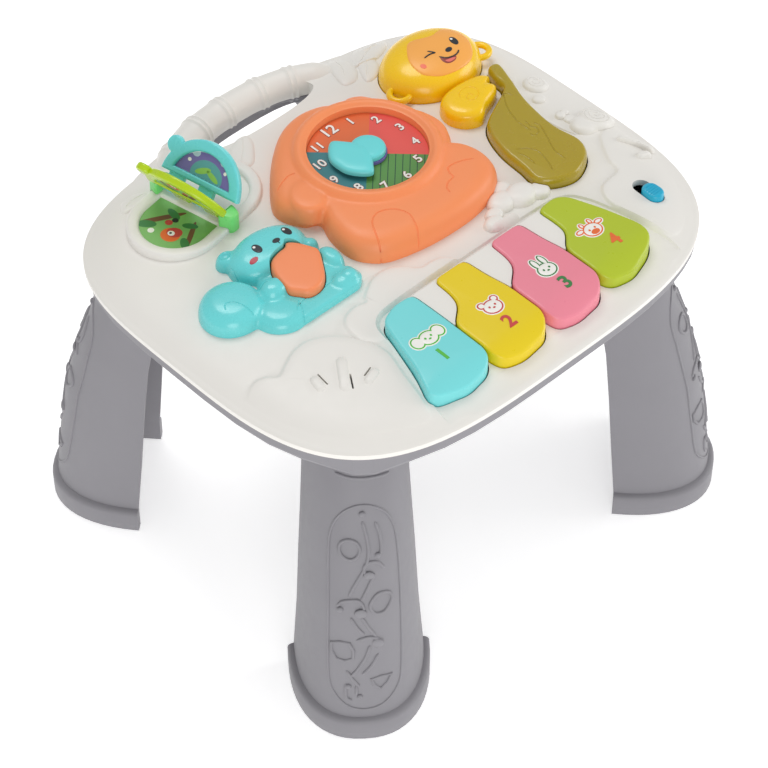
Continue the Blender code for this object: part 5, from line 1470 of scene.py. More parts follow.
# Squirrel
@dataclass
class Squirrel:
    """The cyan squirrel of overlapping lobes, with the orange nut button in its paws."""

    base: float = 0.2563
    height: float = 0.0182
    profile: Rows = (
        (1, 0), (1, 0.22), (0.985, 0.42), (0.94, 0.6), (0.87, 0.74), (0.76, 0.86), (0.6, 0.95), (0.38, 0.99), (0.18, 1))
    trunk: Points = ((-110, -43.4), (-62, -43.4), (-54.6, -38), (-55.6, -27), (-62, -22.5), (-106, -22.5))
    lobes: Rows = (
        (-135.2, -3, 21.8, 21.3, 0, 0.95), (-116, -28, 17.6, 14.6, -38, 0.7), (-85.2, -13.4, 31.2, 26, 0, 0.64),
        (-63.5, -35, 7.2, 6.6, 0, 0.84), (-86.3, 17.8, 30.2, 19.8, 0, 1), (-109.2, 31.3, 8.3, 7.3, 0, 0.72),
        (-59.8, -13.4, 7.3, 11.4, 0, 0.8), (-108, -12.6, 10.6, 9, 0, 1.02), (-68, -34.5, 10, 8.4, 0, 0.74),
        (-60.6, 5.6, 6.2, 5.6, 0, 0.66))
    creases: tuple[Points, ...] = (
        ((-144.9, -8.6), (-142, -4.9), (-137.4, -6.4), (-134.7, -11.4), (-133.1, -18.1), (-132.7, -21.2)),
        ((-114, 22), (-115.5, 14), (-115.2, 5), (-113, -4), (-109, -8.6), (-102.6, -9.8)),
        ((-102, -28.6), (-104.5, -34.6), (-108.2, -40.8), (-111.6, -45.6)),
        ((-109.2, -36), (-103, -31.4), (-90, -30.2), (-78.9, -31.4), (-70, -29.4)))
    nut_centre: Point = (-0.0835, -0.01)
    nut_half: Size = (0.0195, 0.0225)
    nut_bottom: float = 0.2521
    nut_top: float = 0.2728
    nut_gap: float = 0.0007
    nut_shares: Points = (
        (-0.9, 0.18), (-0.59, 0.67), (-0.18, 0.84), (0.23, 0.89), (0.44, 1), (0.69, 0.8), (0.95, 0.36), (1, 0.13),
        (0.74, -0.27), (0.33, -0.76), (-0.08, -0.98), (-0.54, -0.98), (-0.79, -0.76), (-1, -0.44))
    nut_profile: Rows = ((1, 0.114), (1, 0.76), (0.985, 0.88), (0.94, 0.955), (0.84, 0.99), (0.6, 1))
    trunk_corner: float = 0.0026
    trunk_share: float = 0.58
    trunk_edge: float = 0.0016
    melt_cell: float = 0.0011
    crease_radius: float = 0.0006
    cup_centre: Point = (-110.6, 32.2)
    cup_half: Size = (4.4, 3.6)
    cup_levels: Rows = ((0.4, 0.2668), (0.8, 0.2676), (1, 0.2692), (1.25, 0.276))
    eyes: Points = ((-94.6, 18.4), (-69.2, 18.4))
    eye_half: Size = (2.9, 4.3)
    shines: Points = ((-95.4, 20.4), (-70, 20.4))
    nose: Point = (-80.6, 15.6)
    nose_half: Size = (2.9, 1.9)
    stem: Points = ((-80.6, 15), (-80.5, 13.4), (-80.4, 11.9))
    stem_radius: float = 0.00045
    cheek: Point = (-102.6, 12.4)
    cheek_half: Size = (3.4, 2)

    def nut_outline(self, grow: float = 0.0) -> Outline:
        """The nut's outline, grown if wanted."""
        return offset_outline(shaped(self.nut_shares, self.nut_centre, self.nut_half, 5), grow)

    def body(self) -> Piece:
        """Melt the lobes together, cup the ear, engrave the creases and open the nut's hole."""
        lobes = [dome(f"squirrel_lobe_{i}", ellipse(mm(x, y), mm(rx, ry), 64, math.radians(turn)), mm(x, y), self.base,
                      self.height * share, self.profile)
                 for i, (x, y, rx, ry, turn, share) in enumerate(self.lobes)]
        trunk = round_corners(mm_points(*self.trunk), self.trunk_corner, 5)
        lobes.append(plate("squirrel_trunk", [trunk], self.base, self.height * self.trunk_share, self.trunk_edge, 4))
        body = melt("squirrel", lobes, self.melt_cell, 9)
        cup_centre = mm(*self.cup_centre)
        cup = loft("ear_cup", ellipse(cup_centre, mm(*self.cup_half), 32), cup_centre, list(self.cup_levels))
        combine(body, cup, Combine.CUT)
        engrave(body, "squirrel_creases", [mm_curve(points, 8, False) for points in self.creases], self.crease_radius)
        return combine(body, plate("nut_hole", [self.nut_outline(self.nut_gap)], 0.25, 0.04), Combine.CUT)

    def face(self, body: Piece) -> None:
        """Print the eyes, the nose with a short stem, and one cheek."""
        lay = Surface(body)
        dark = [print_on("eye", ellipse(mm(*place), mm(*self.eye_half), 32), lay) for place in self.eyes]
        dark.append(print_on("nose", ellipse(mm(*self.nose), mm(*self.nose_half), 28), lay))
        dark.append(wires("stem", [lay.along(mm_points(*self.stem), STROKE_LIFT)], self.stem_radius))
        fit(merge("squirrel_eyes_and_nose", dark), Finish.INK, "table", "cyan_plastic")
        shine = [print_on("eye_shine", circle(mm(*place), SHINE_RADIUS, 16), lay, SHINE_RISE)
                 for place in self.shines]
        fit(merge("squirrel_eye_shine", shine), Finish.INK_WHITE, "table", "cyan_plastic")
        cheek = print_on("squirrel_cheek", ellipse(mm(*self.cheek), mm(*self.cheek_half), 24), lay)
        fit(cheek, Finish.CHEEK_RED, "table", "cyan_plastic")

    def build(self, deck: Deck) -> None:
        """Build the squirrel and its nut."""
        body = self.body()
        self.face(body)
        fit(body, Finish.CYAN, "table", "cyan_plastic", "squirrel_body", degrees=46.0)
        nut = dome("nut", self.nut_outline(), self.nut_centre, self.nut_bottom, self.nut_top - self.nut_bottom,
                   self.nut_profile)
        fit(nut, Finish.NUT, "nut_button", "orange_button", "nut_button", degrees=46.0)
        deck.cuts.append(self.nut_outline(self.nut_gap))


# Leaf button
@dataclass
class LeafButton:
    """The clear olive leaf that lights up, engraved with veins and a curl."""

    centre: Point = (0.121, -0.0085)
    half_size: Size = (0.033, 0.0585)
    bottom: float = 0.2521
    top: float = 0.2685
    gap: float = 0.0008
    vein_radius: float = 0.0006
    outline_shares: Points = (
        (0.76, 1), (1, 0.95), (0.85, 0.66), (0.64, 0.35), (0.52, 0.06), (0.45, -0.28), (0.52, -0.62), (0.36, -0.83),
        (-0.03, -0.97), (-0.39, -1), (-0.79, -0.91), (-1, -0.76), (-0.94, -0.5), (-0.88, -0.16), (-0.7, 0.15),
        (-0.45, 0.33), (0.03, 0.47), (0.52, 0.62), (0.61, 0.83))
    insets: Rows = ((0, 0.152), (0, 0.68), (0.0003, 0.81), (0.001, 0.92), (0.0019, 0.98), (0.0029, 1))
    veins: tuple[Points, ...] = (
        ((134, 24.1), (124.7, 10.5), (120.2, -1.4), (119.2, -8.5), (119.5, -17.8)),
        ((125.9, -12.8), (127.3, -18.2), (122.5, -29.6), (116.7, -42), (116.1, -53.3)),
        ((123.3, -8), (122.7, -11.9), (122.2, -14.4), (124, -18.1), (121.9, -22.1), (117.5, -22.5), (116.7, -19.2)),
        ((98.2, -23.9), (104.5, -28.5), (108, -35.7), (104.8, -48.3), (101.6, -55)),
        ((97, -27.1), (98.6, -35.4), (97.4, -43)),
        ((131, 22), (135.1, 20.2), (136.3, 15.9)))

    def outline(self, grow: float = 0.0) -> Outline:
        """The leaf's outline, grown if wanted."""
        return offset_outline(shaped(self.outline_shares, self.centre, self.half_size, 5), grow)

    def build(self, deck: Deck) -> None:
        """Build the leaf with its engraved lines."""
        rows = [(-inset, self.bottom + (self.top - self.bottom) * rise)
                for inset, rise in smooth_curve(list(self.insets), 3, closed=False)]
        leaf = stack("leaf", self.outline(), rows)
        engrave(leaf, "leaf_veins", [mm_curve(points, 6, False) for points in self.veins], self.vein_radius)
        fit(leaf, Finish.OLIVE, "leaf_button", "olive_plastic", "leaf_button", degrees=46.0)
        deck.cuts.append(self.outline(self.gap))


# Monkey
@dataclass
class Monkey:
    """The monkey's head, which is a button with a printed face, and its arm, which stays on the deck."""

    centre: Point = (0.12, 0.0805)
    half_size: Size = (0.0392, 0.0316)
    bottom: float = 0.2521
    top: float = 0.28
    profile: Rows = (
        (1, 0.09), (1, 0.34), (0.985, 0.48), (0.95, 0.6), (0.87, 0.75), (0.74, 0.87), (0.56, 0.955), (0.36, 1),
        (0.2, 1.01))
    gap: float = 0.0006
    ears: Points = ((-0.942, -0.261), (0.89, -0.4))
    ear_height: float = 0.2652
    ear_radius: float = 0.007
    ear_wire: float = 0.0024
    arm_bottom: float = 0.2605
    arm_profile: Rows = ((1, -0.5), (1, 0.3), (0.985, 0.55), (0.94, 0.76), (0.84, 0.91), (0.68, 0.98), (0.45, 1))
    swirl_radius: float = 0.00055
    swirl: Points = (
        (104, 35), (107.6, 39.4), (112.6, 40.2), (116.8, 38.4), (118.6, 34.4), (116.4, 29.6), (110.8, 27.4),
        (107.2, 29), (107.8, 32.6), (111.2, 33.9), (112.8, 31))
    arm_centre: Point = (0.113, 0.033)
    arm_half: Size = (0.025, 0.018)
    arm_height: float = 0.013
    arm_shares: Points = (
        (-0.32, -1), (-0.76, -0.72), (-0.96, -0.11), (-0.84, 0.5), (-0.52, 0.8), (-0.04, 0.88), (0.44, 0.82),
        (0.84, 0.66), (0.98, 0.39), (0.76, 0.17), (0.84, -0.17), (0.56, -0.44), (0.12, -0.67))
    face_edge: Points = (
        (106.6, 88.1), (112.8, 93.9), (118.4, 93.6), (123.4, 91), (129.9, 88.8), (135.5, 90), (142, 90.6), (147.4, 84),
        (148, 74), (143, 64), (136, 58.5), (127, 56.2), (117, 56.6), (108.2, 59.4), (101, 66), (99.6, 73),
        (101.4, 80.6))
    face_middle: Point = (124.8, 73.8)
    face_share: float = 1.05
    face_levels: Rows = (
        (1, -0.0004), (1, 0.0003), (0.985, 0.0006), (0.95, 0.0007), (0.8, 0.0007), (0.6, 0.0007), (0.4, 0.0007),
        (0.2, 0.0007), (0.05, 0.0007))
    eye: tuple[float, ...] = (137.4, 75.4, 2.8, 4.3, -12)
    nose: tuple[float, ...] = (127.8, 70.6, 3.0, 1.9, 8)
    cheek: tuple[float, ...] = (103.6, 70.4, 1.7, 2.3, 20)
    shine: Point = (137, 77.6)
    stroke_radius: float = 0.00055
    strokes: tuple[Points, ...] = (
        ((115.5, 79), (118.6, 74)), ((118.6, 74), (114.2, 75.4), (109, 75.2)),
        ((117.6, 69.5), (120.2, 66.1), (124, 64.6), (127.7, 64.3), (131, 65), (133.6, 66.6)))
    mouth: Points = (
        (117.9, 68.6), (116.7, 66), (117.3, 63.1), (119.7, 61.3), (123.8, 61), (127, 62.2), (127.9, 64.2),
        (123.8, 64.7), (120.4, 66.2))
    mouth_rise: float = 0.0002
    tongue: Points = ((118.6, 64.4), (119.4, 62.6), (121.8, 61.7), (125, 61.9), (126.8, 62.8), (124, 63.6), (121, 64))
    tongue_rise: float = 0.0003

    def outline(self, grow: float = 0.0) -> Outline:
        """The head's outline, grown if wanted."""
        return ellipse(self.centre, (self.half_size[0] + grow, self.half_size[1] + grow), 96)

    def ear_rings(self) -> Piece:
        """Two ear rings half sunk in the head."""
        rings: list[list[Vector]] = []
        for middle in placed(self.ears, self.centre, self.half_size):
            ring = [Vector((x, y, self.ear_height)) for x, y in circle(middle, self.ear_radius, 40)]
            rings.append(ring + ring[:1])
        return wires("monkey_ears", rings, self.ear_wire, taper=False, resolution=5)

    def oval(self, name: str, sizes: tuple[float, ...], count: int, surface: Surface) -> Piece:
        """A printed oval from its middle and half size in millimetres and its turn in degrees."""
        x, y, rx, ry, turn = sizes
        return print_on(name, ellipse(mm(x, y), mm(rx, ry), count, math.radians(turn)), surface)

    def face(self, head: Piece) -> Piece:
        """Model the raised face patch and print the eye, wink, nose, cheek and mouth on it."""
        middle = mm(*self.face_middle)
        edge = scaled(mm_curve(self.face_edge, 5), middle, self.face_share)
        patch = Surface(head).drape(loft("monkey_face_patch", edge, middle, list(self.face_levels)))
        lay = Surface(patch)
        paths = [lay.along(mm_curve(line, 6, False), STROKE_LIFT) for line in self.strokes]
        eye, nose = self.oval("eye", self.eye, 32, lay), self.oval("nose", self.nose, 28, lay)
        dark = merge("monkey_eye_and_strokes", [eye, nose, wires("monkey_strokes", paths, self.stroke_radius)])
        shine = circle(mm(*self.shine), SHINE_RADIUS, 16)
        mouth = print_on("monkey_mouth", mm_curve(self.mouth, 5), lay, self.mouth_rise)
        tongue = print_on("monkey_tongue", mm_curve(self.tongue, 5), lay, self.tongue_rise)
        cheek = self.oval("monkey_cheek", self.cheek, 24, lay)
        gleam = print_on("monkey_eye_shine", shine, lay, SHINE_RISE)
        for piece, ink in ((mouth, Finish.INK_BRICK), (dark, Finish.INK), (gleam, Finish.INK_WHITE),
                           (tongue, Finish.INK_PINK), (cheek, Finish.CHEEK)):
            fit(piece, ink, "monkey_head", "face_plastic")
        return patch

    def arm(self) -> Piece:
        """The curled arm with its engraved swirl."""
        outline = shaped(self.arm_shares, self.arm_centre, self.arm_half, 6)
        piece = dome("monkey_arm_shown", outline, self.arm_centre, self.arm_bottom, self.arm_height, self.arm_profile)
        return engrave(piece, "arm_swirl", [mm_curve(self.swirl, 6, False)], self.swirl_radius)

    def build(self, deck: Deck) -> None:
        """Build the head, face and arm."""
        head = dome("monkey_head_shown", self.outline(), self.centre, self.bottom, self.top - self.bottom, self.profile)
        fit(self.face(head), Finish.FACE, "monkey_head", "face_plastic", "monkey_face")
        combine(head, self.ear_rings(), Combine.ADD)
        fit(head, Finish.YELLOW, "monkey_head", "yellow_plastic", "monkey_head", degrees=50.0)
        fit(self.arm(), Finish.YELLOW, "table", "yellow_plastic", "monkey_arm", degrees=46.0)
        deck.cuts.append(self.outline(self.gap))


# Book
class Picture(Enum):
    """The two printed pictures: inks, each with its layer and spots of a place, a half size and an angle."""

    FRUIT = (
        (Finish.INK_MEADOW, 1, ((0, -0.2, 1.6, 1.2, 0),)),
        (Finish.INK_WOOD, 2, ((0.52, -0.1, 0.1, 0.8, -38), (-0.66, -0.05, 0.08, 0.6, 24))),
        (Finish.INK_FOREST, 3, ((0.7, 0.3, 0.3, 0.15, 30), (0.3, -0.48, 0.28, 0.12, -20),
                                (-0.74, 0.32, 0.26, 0.13, -40), (-0.4, -0.36, 0.24, 0.11, 25))),
        (Finish.INK_ORANGE, 3, ((-0.16, 0.26, 0.3, 0.28, 0),)),
        (Finish.INK_RED, 4, ((-0.2, 0.12, 0.24, 0.2, 20), (0.2, -0.12, 0.12, 0.11, 0))),
        (Finish.INK_WHITE, 5, ((-0.14, 0.2, 0.11, 0.1, 0), (0.42, 0.44, 0.1, 0.1, 0))),
        (Finish.INK, 6, ((0.1, -0.3, 0.1, 0.09, 0), (-0.12, 0.2, 0.04, 0.04, 0))))
    HILL = (
        (Finish.INK_LILAC, 1, ((0, 0, 1.6, 1.4, 0),)),
        (Finish.INK_TEAL, 2, ((0.1, -0.3, 0.62, 0.52, 0),)),
        (Finish.INK_SKY, 3, ((-0.5, 0.3, 0.16, 0.13, 0), (0.02, 0.6, 0.12, 0.1, 0), (0.58, 0.36, 0.14, 0.12, 0))),
        (Finish.INK_WHITE, 4, ((-0.24, 0.5, 0.07, 0.06, 0), (0.32, 0.54, 0.07, 0.06, 0), (-0.66, 0, 0.07, 0.06, 0),
                               (0.74, 0.06, 0.06, 0.06, 0))),
        (Finish.INK_GRASS, 4, ((-0.06, -0.16, 0.3, 0.1, 25), (0.34, -0.22, 0.28, 0.09, -25))))


@dataclass
class Book:
    """Two turning pages on a hinge pin, over two round-ended wells, the left one with a print."""

    centre: Point = (-0.09, 0.086)
    turn: float = math.radians(11)
    lobe: float = 0.02
    ring_outer: float = 0.0325
    ring_inner: float = 0.0243
    bar_half: float = 0.005
    hinge_height: float = 0.2695
    page_radius: float = 0.0315
    page_middle: float = 0.008
    page_root: float = 0.0095
    window_radius: float = 0.0235
    window_root: float = 0.014
    thickness: float = 0.0041
    extra: float = 0.0012
    sheet_thickness: float = 0.0021
    ear: Point = (0.027, 0.0275)
    knuckle_spans: tuple[float, ...] = (-0.0246, -0.0123, 0.0, 0.0123, 0.0246)
    gap: float = 0.0003
    ear_radius: float = 0.006
    frame_edge: float = 0.0015
    corner: float = 0.0006
    neck_near: float = 0.0004
    neck_far: float = 0.0043
    neck_bottom: float = 0.0012
    neck_height: float = 0.01
    knuckle_radius: float = 0.0032
    knuckle_chamfer: float = 0.0004
    bore_radius: float = 0.0018
    pin_radius: float = 0.0015
    pin_half: float = 0.033
    wall_bottom: float = 0.2572
    wall_side: float = 0.2622
    wall_edge: float = 0.0024
    well_rows: Rows = ((-0.0004, 0.254), (-0.0004, 0.2628), (0.0006, 0.264), (0.0024, 0.2648), (0.0032, 0.27))
    block_foot: Points = ((-0.008, 0.0252), (0.008, 0.0252), (0.004, 0.0352), (-0.004, 0.0352))
    block_corner: float = 0.003
    block_rows: Rows = ((0, 0.2496), (0, 0.2722), (-0.0003, 0.2731), (-0.0009, 0.2738), (-0.0018, 0.274))
    layer_rise: float = 0.00003
    page_picture: tuple[Point, float] = ((0, 0.0225), 0.0205)
    well_picture: tuple[Point, float] = ((-0.024, 0), 0.0225)
    sheet_bottom: float = 0.26
    sheet_top: float = 0.262

    def point(self, along: float, across: float) -> Point:
        """A place in the plan from the book's middle, along its width and its hinge."""
        c, s = math.cos(self.turn), math.sin(self.turn)
        return self.centre[0] + along * c - across * s, self.centre[1] + along * s + across * c

    def lobe_outline(self, side: int, radius: float, near: float = 0.0) -> Outline:
        """One round end of the wells in the plan, with straight sides to a line near the hinge."""
        angles = [math.pi * (i / 40 - 0.5) for i in range(41)]
        points = [self.point(side * (self.lobe + radius * math.cos(a)), side * radius * math.sin(a)) for a in angles]
        if near:
            points += [self.point(side * near, side * radius), self.point(side * near, -side * radius)]
        return points

    def page_outline(self, radius: float, root: float) -> Outline:
        """A page's round end in its own plane, cut straight near the hinge."""
        start = math.asin((root - self.page_middle) / radius)
        angles = [start + (math.pi - 2 * start) * i / 56 for i in range(57)]
        return [(radius * math.cos(a), self.page_middle + radius * math.sin(a)) for a in angles]

    def wall_form(self, name: str, grow: float = 0.0) -> Piece:
        """The soft-edged block round both wells, grown if wanted."""
        outline = self.lobe_outline(1, self.ring_outer + grow) + self.lobe_outline(-1, self.ring_outer + grow)
        rows = [(0.0, self.wall_bottom - 20 * grow), (0.0, self.wall_side)]
        rows += [(-self.wall_edge * (1 - math.cos(a)), self.wall_side - 0.0001 + grow + self.wall_edge * math.sin(a))
                 for a in corner_angles(6)[1:]]
        return stack(name, outline, rows)

    def wells(self) -> None:
        """The soft wall round both wells, and the bar between them."""
        wall = self.wall_form("book_wells")
        for side in (-1, 1):
            inner = self.lobe_outline(side, self.ring_inner, self.bar_half)
            combine(wall, stack("well_cut", inner, list(self.well_rows)), Combine.CUT)
        fit(wall, Finish.WHITE, "table", "white_shell", degrees=50.0)

    def picture(self, name: str, outline: Outline, middle: Point, size: float, turn: float, body: str,
                place: Matrix, height: float, shown: Picture) -> None:
        """A printed scene inside an outline.

        Args:
            name: Its name, used for its parts.
            outline: The edge of the print.
            middle: Its middle in its own plane.
            size: Half of its width.
            turn: Its angle in its plane.
            body: The body that carries it.
            place: Where its plane lies.
            height: Height of its surface in its own frame.
            shown: Which picture it is.
        """
        for ink, layer, spots in shown.value:
            shapes: list[Piece] = []
            for dx, dy, rx, ry, angle in spots:
                (centre,) = placed([(dx, dy)], middle, (size, size), turn)
                spot = ellipse(centre, (rx * size, ry * size), 40, turn + math.radians(angle))
                shape = plate("print", [spot], height - 0.0002, 0.0002 + self.layer_rise * layer)
                edge = plate("print_edge", [outline], height - 0.001, 0.002)
                shapes.append(combine(shape, edge, Combine.KEEP_COMMON))
            piece = merge(f"{name}_{ink.name.lower()}", shapes)
            piece.data.transform(place)
            fit(piece, ink, body, "picture_print")

    def knuckle(self, side: int, low: float, high: float) -> Piece:
        """One knuckle round the pin, with the neck that joins it to its page's frame.

        Args:
            side: Which side of the hinge the page starts on, -1 or 1.
            low: Where it starts along the pin.
            high: Where it ends.

        Returns:
            The knuckle.
        """
        near, far = self.neck_near, self.neck_far
        neck = plate("neck", [[(near, low), (far, low), (far, high), (near, high)]], self.neck_bottom, self.neck_height)
        if side < 0:
            neck.data.transform(Matrix.Diagonal((-1, 1, 1, 1)))
            set_outwards(neck)
        chamfer = self.knuckle_chamfer
        ring = loft("knuckle", circle((0.0, 0.0), self.knuckle_radius, 32), (0.0, 0.0),
                    [(0.88, low), (1.0, low + chamfer), (1.0, high - chamfer), (0.88, high)])
        ring.data.transform(Matrix.Rotation(math.radians(-90), 4, 'X'))
        return combine(neck, ring, Combine.ADD)

    def page(self, name: str, side: int, lean: float, finish: Finish, slot: str, spans: tuple[int, int],
             shown: Picture) -> None:
        """One page: a soft-edged plate with an ear, its knuckles, and a picture on both sides.

        Args:
            name: The page's node.
            side: Which side of the hinge it starts on, -1 or 1.
            lean: How far it leans from upright.
            finish: Its finish.
            slot: The record's slot, which is not used.
            spans: Which knuckles are its own.
            shown: Its picture.
        """
        half, gap, half_sheet = self.thickness / 2, self.gap, self.sheet_thickness / 2
        low_face, frame = -half - (self.extra if side > 0 else 0.0), self.thickness + self.extra
        window = self.page_outline(self.window_radius, self.window_root)
        rim = round_corners(self.page_outline(self.page_radius, self.page_root), self.corner, 2)
        body = plate(f"{name}_shown", [rim, window[::-1]], low_face, frame, self.frame_edge, 4)
        ear = plate(f"{name}_ear", [circle(self.ear, self.ear_radius, 40)], low_face, frame, self.frame_edge, 4)
        combine(body, ear, Combine.ADD)
        combine(body, plate(f"{name}_window", [window], -0.01, 0.02), Combine.CUT)
        upright = Matrix(((0, 0, 1, side * (gap + half)), (1, 0, 0, 0), (0, 1, 0, 0), (0, 0, 0, 1)))
        body.data.transform(upright)
        for span in spans:
            low, high = self.knuckle_spans[span] + gap, self.knuckle_spans[span + 1] - gap
            combine(body, self.knuckle(side, low, high), Combine.ADD)
        bore = wires("bore", [[Vector((0, -0.04, 0)), Vector((0, 0.04, 0))]], self.bore_radius, taper=False,
                     resolution=6)
        combine(body, bore, Combine.CUT)
        place = (Matrix.Translation((*self.point(0.0, 0.0), self.hinge_height)) @ Matrix.Rotation(self.turn, 4, 'Z')
                 @ Matrix.Rotation(lean, 4, 'Y'))
        body.data.transform(place)
        fit(set_outwards(body), finish, name, slot, name, degrees=46.0)
        edge = self.page_outline(self.window_radius - gap, self.window_root + gap)
        sheet = plate(f"{name}_print", [edge], -half_sheet, self.sheet_thickness)
        sheet.data.transform(place @ upright)
        fit(sheet, Finish.INK_SKY, name, "picture_print", f"{name}_picture")
        for face, flip in (("front", 1), ("back", -1)):
            flat = place @ upright @ Matrix.Diagonal((flip, 1, flip, 1))
            self.picture(f"{name}_{face}", edge, *self.page_picture, 0.0, name, flat, half_sheet, shown)

    def blocks(self) -> None:
        """The two hinge blocks and the pin."""
        for name, side in (("book_block_front", -1), ("book_block_rear", 1)):
            foot = round_corners([self.point(side * a, side * b) for a, b in self.block_foot], self.block_corner, 6)
            block = stack(f"{name}_shown", foot, list(self.block_rows))
            set_outwards(combine(block, self.wall_form("wall_space", self.gap), Combine.CUT))
            fit(block, Finish.HINGE, "table", "hinge_green", name, degrees=50.0)
        ends = [Vector((*self.point(0.0, across), self.hinge_height)) for across in (-self.pin_half, self.pin_half)]
        pin = wires("hinge_pin_shown", [[ends[0], ends[0].lerp(ends[1], 0.5), ends[1]]], self.pin_radius, taper=False,
                    resolution=6)
        fit(pin, Finish.STEEL, "table", "steel", "book_hinge_pin")

    def build(self) -> None:
        """Build the book."""
        self.wells()
        edge = self.lobe_outline(-1, self.ring_inner - self.gap, self.bar_half + self.gap)
        sheet = plate("well_print", [edge], self.sheet_bottom, self.sheet_top - self.sheet_bottom)
        fit(sheet, Finish.INK_MEADOW, "table", "picture_print", "book_picture")
        middle, size = self.well_picture
        self.picture("well_scene", edge, self.point(*middle), size, self.turn + math.radians(90), "table", Matrix(),
                     self.sheet_top, Picture.FRUIT)
        self.page("page_lime", -1, math.radians(-30), Finish.LIME, "lime_plastic", (0, 2), Picture.FRUIT)
        self.page("page_cyan", 1, math.radians(36), Finish.CYAN, "page_cyan_plastic", (1, 3), Picture.HILL)
        self.blocks()


# Switch and speaker
@dataclass
class SlideSwitch:
    """The blue slider with finger ridges, in its opening in the deck."""

    centre: Point = (0.14, -0.1104)
    half_size: Size = (0.006, 0.008)
    well_centre: Point = (0.14, -0.10665)
    well_half: Size = (0.0066, 0.01235)
    bottom: float = 0.25
    top: float = 0.264
    edge: float = 0.0022
    groove_places: tuple[float, ...] = (-0.004, -0.002, 0, 0.002, 0.004)
    groove_half: float = 0.008
    groove_radius: float = 0.0006

    def bar(self, centre: Point, half_size: Size) -> Outline:
        """A bar with round ends in the plan."""
        (x, y), (half_x, half_y) = centre, half_size
        return stadium((x, y - half_y + half_x), (x, y + half_y - half_x), half_x, 12)

    def build(self, deck: Deck) -> None:
        """Build the slider with its finger ridges, and cut its opening."""
        x, y = self.centre
        block = rounded_block("slider", self.bar(self.centre, self.half_size), self.bottom, self.top, self.edge, 5)
        grooves = [[Vector((x + end * self.groove_half, y + step, self.top + GROOVE_LIFT)) for end in (-1, 1)]
                   for step in self.groove_places]
        combine(block, wires("slider_grooves", grooves, self.groove_radius, taper=False), Combine.CUT)
        fit(block, Finish.BLUE, "switch_slider", "blue_plastic", "switch_slider", degrees=46.0)
        deck.cuts.append(self.bar(self.well_centre, self.well_half))


@dataclass
class SpeakerGrille:
    """Three slots in the deck over the speaker."""

    slots: tuple[tuple[Point, Point], ...] = (
        ((-0.1328, -0.081), (-0.1338, -0.0905)), ((-0.1182, -0.0945), (-0.1246, -0.104)),
        ((-0.1056, -0.0992), (-0.1124, -0.1014)))
    slot_radius: float = 0.0006

    def build(self, deck: Deck) -> None:
        """Cut the slots."""
        deck.cuts += [stadium(start, end, self.slot_radius, 6) for start, end in self.slots]


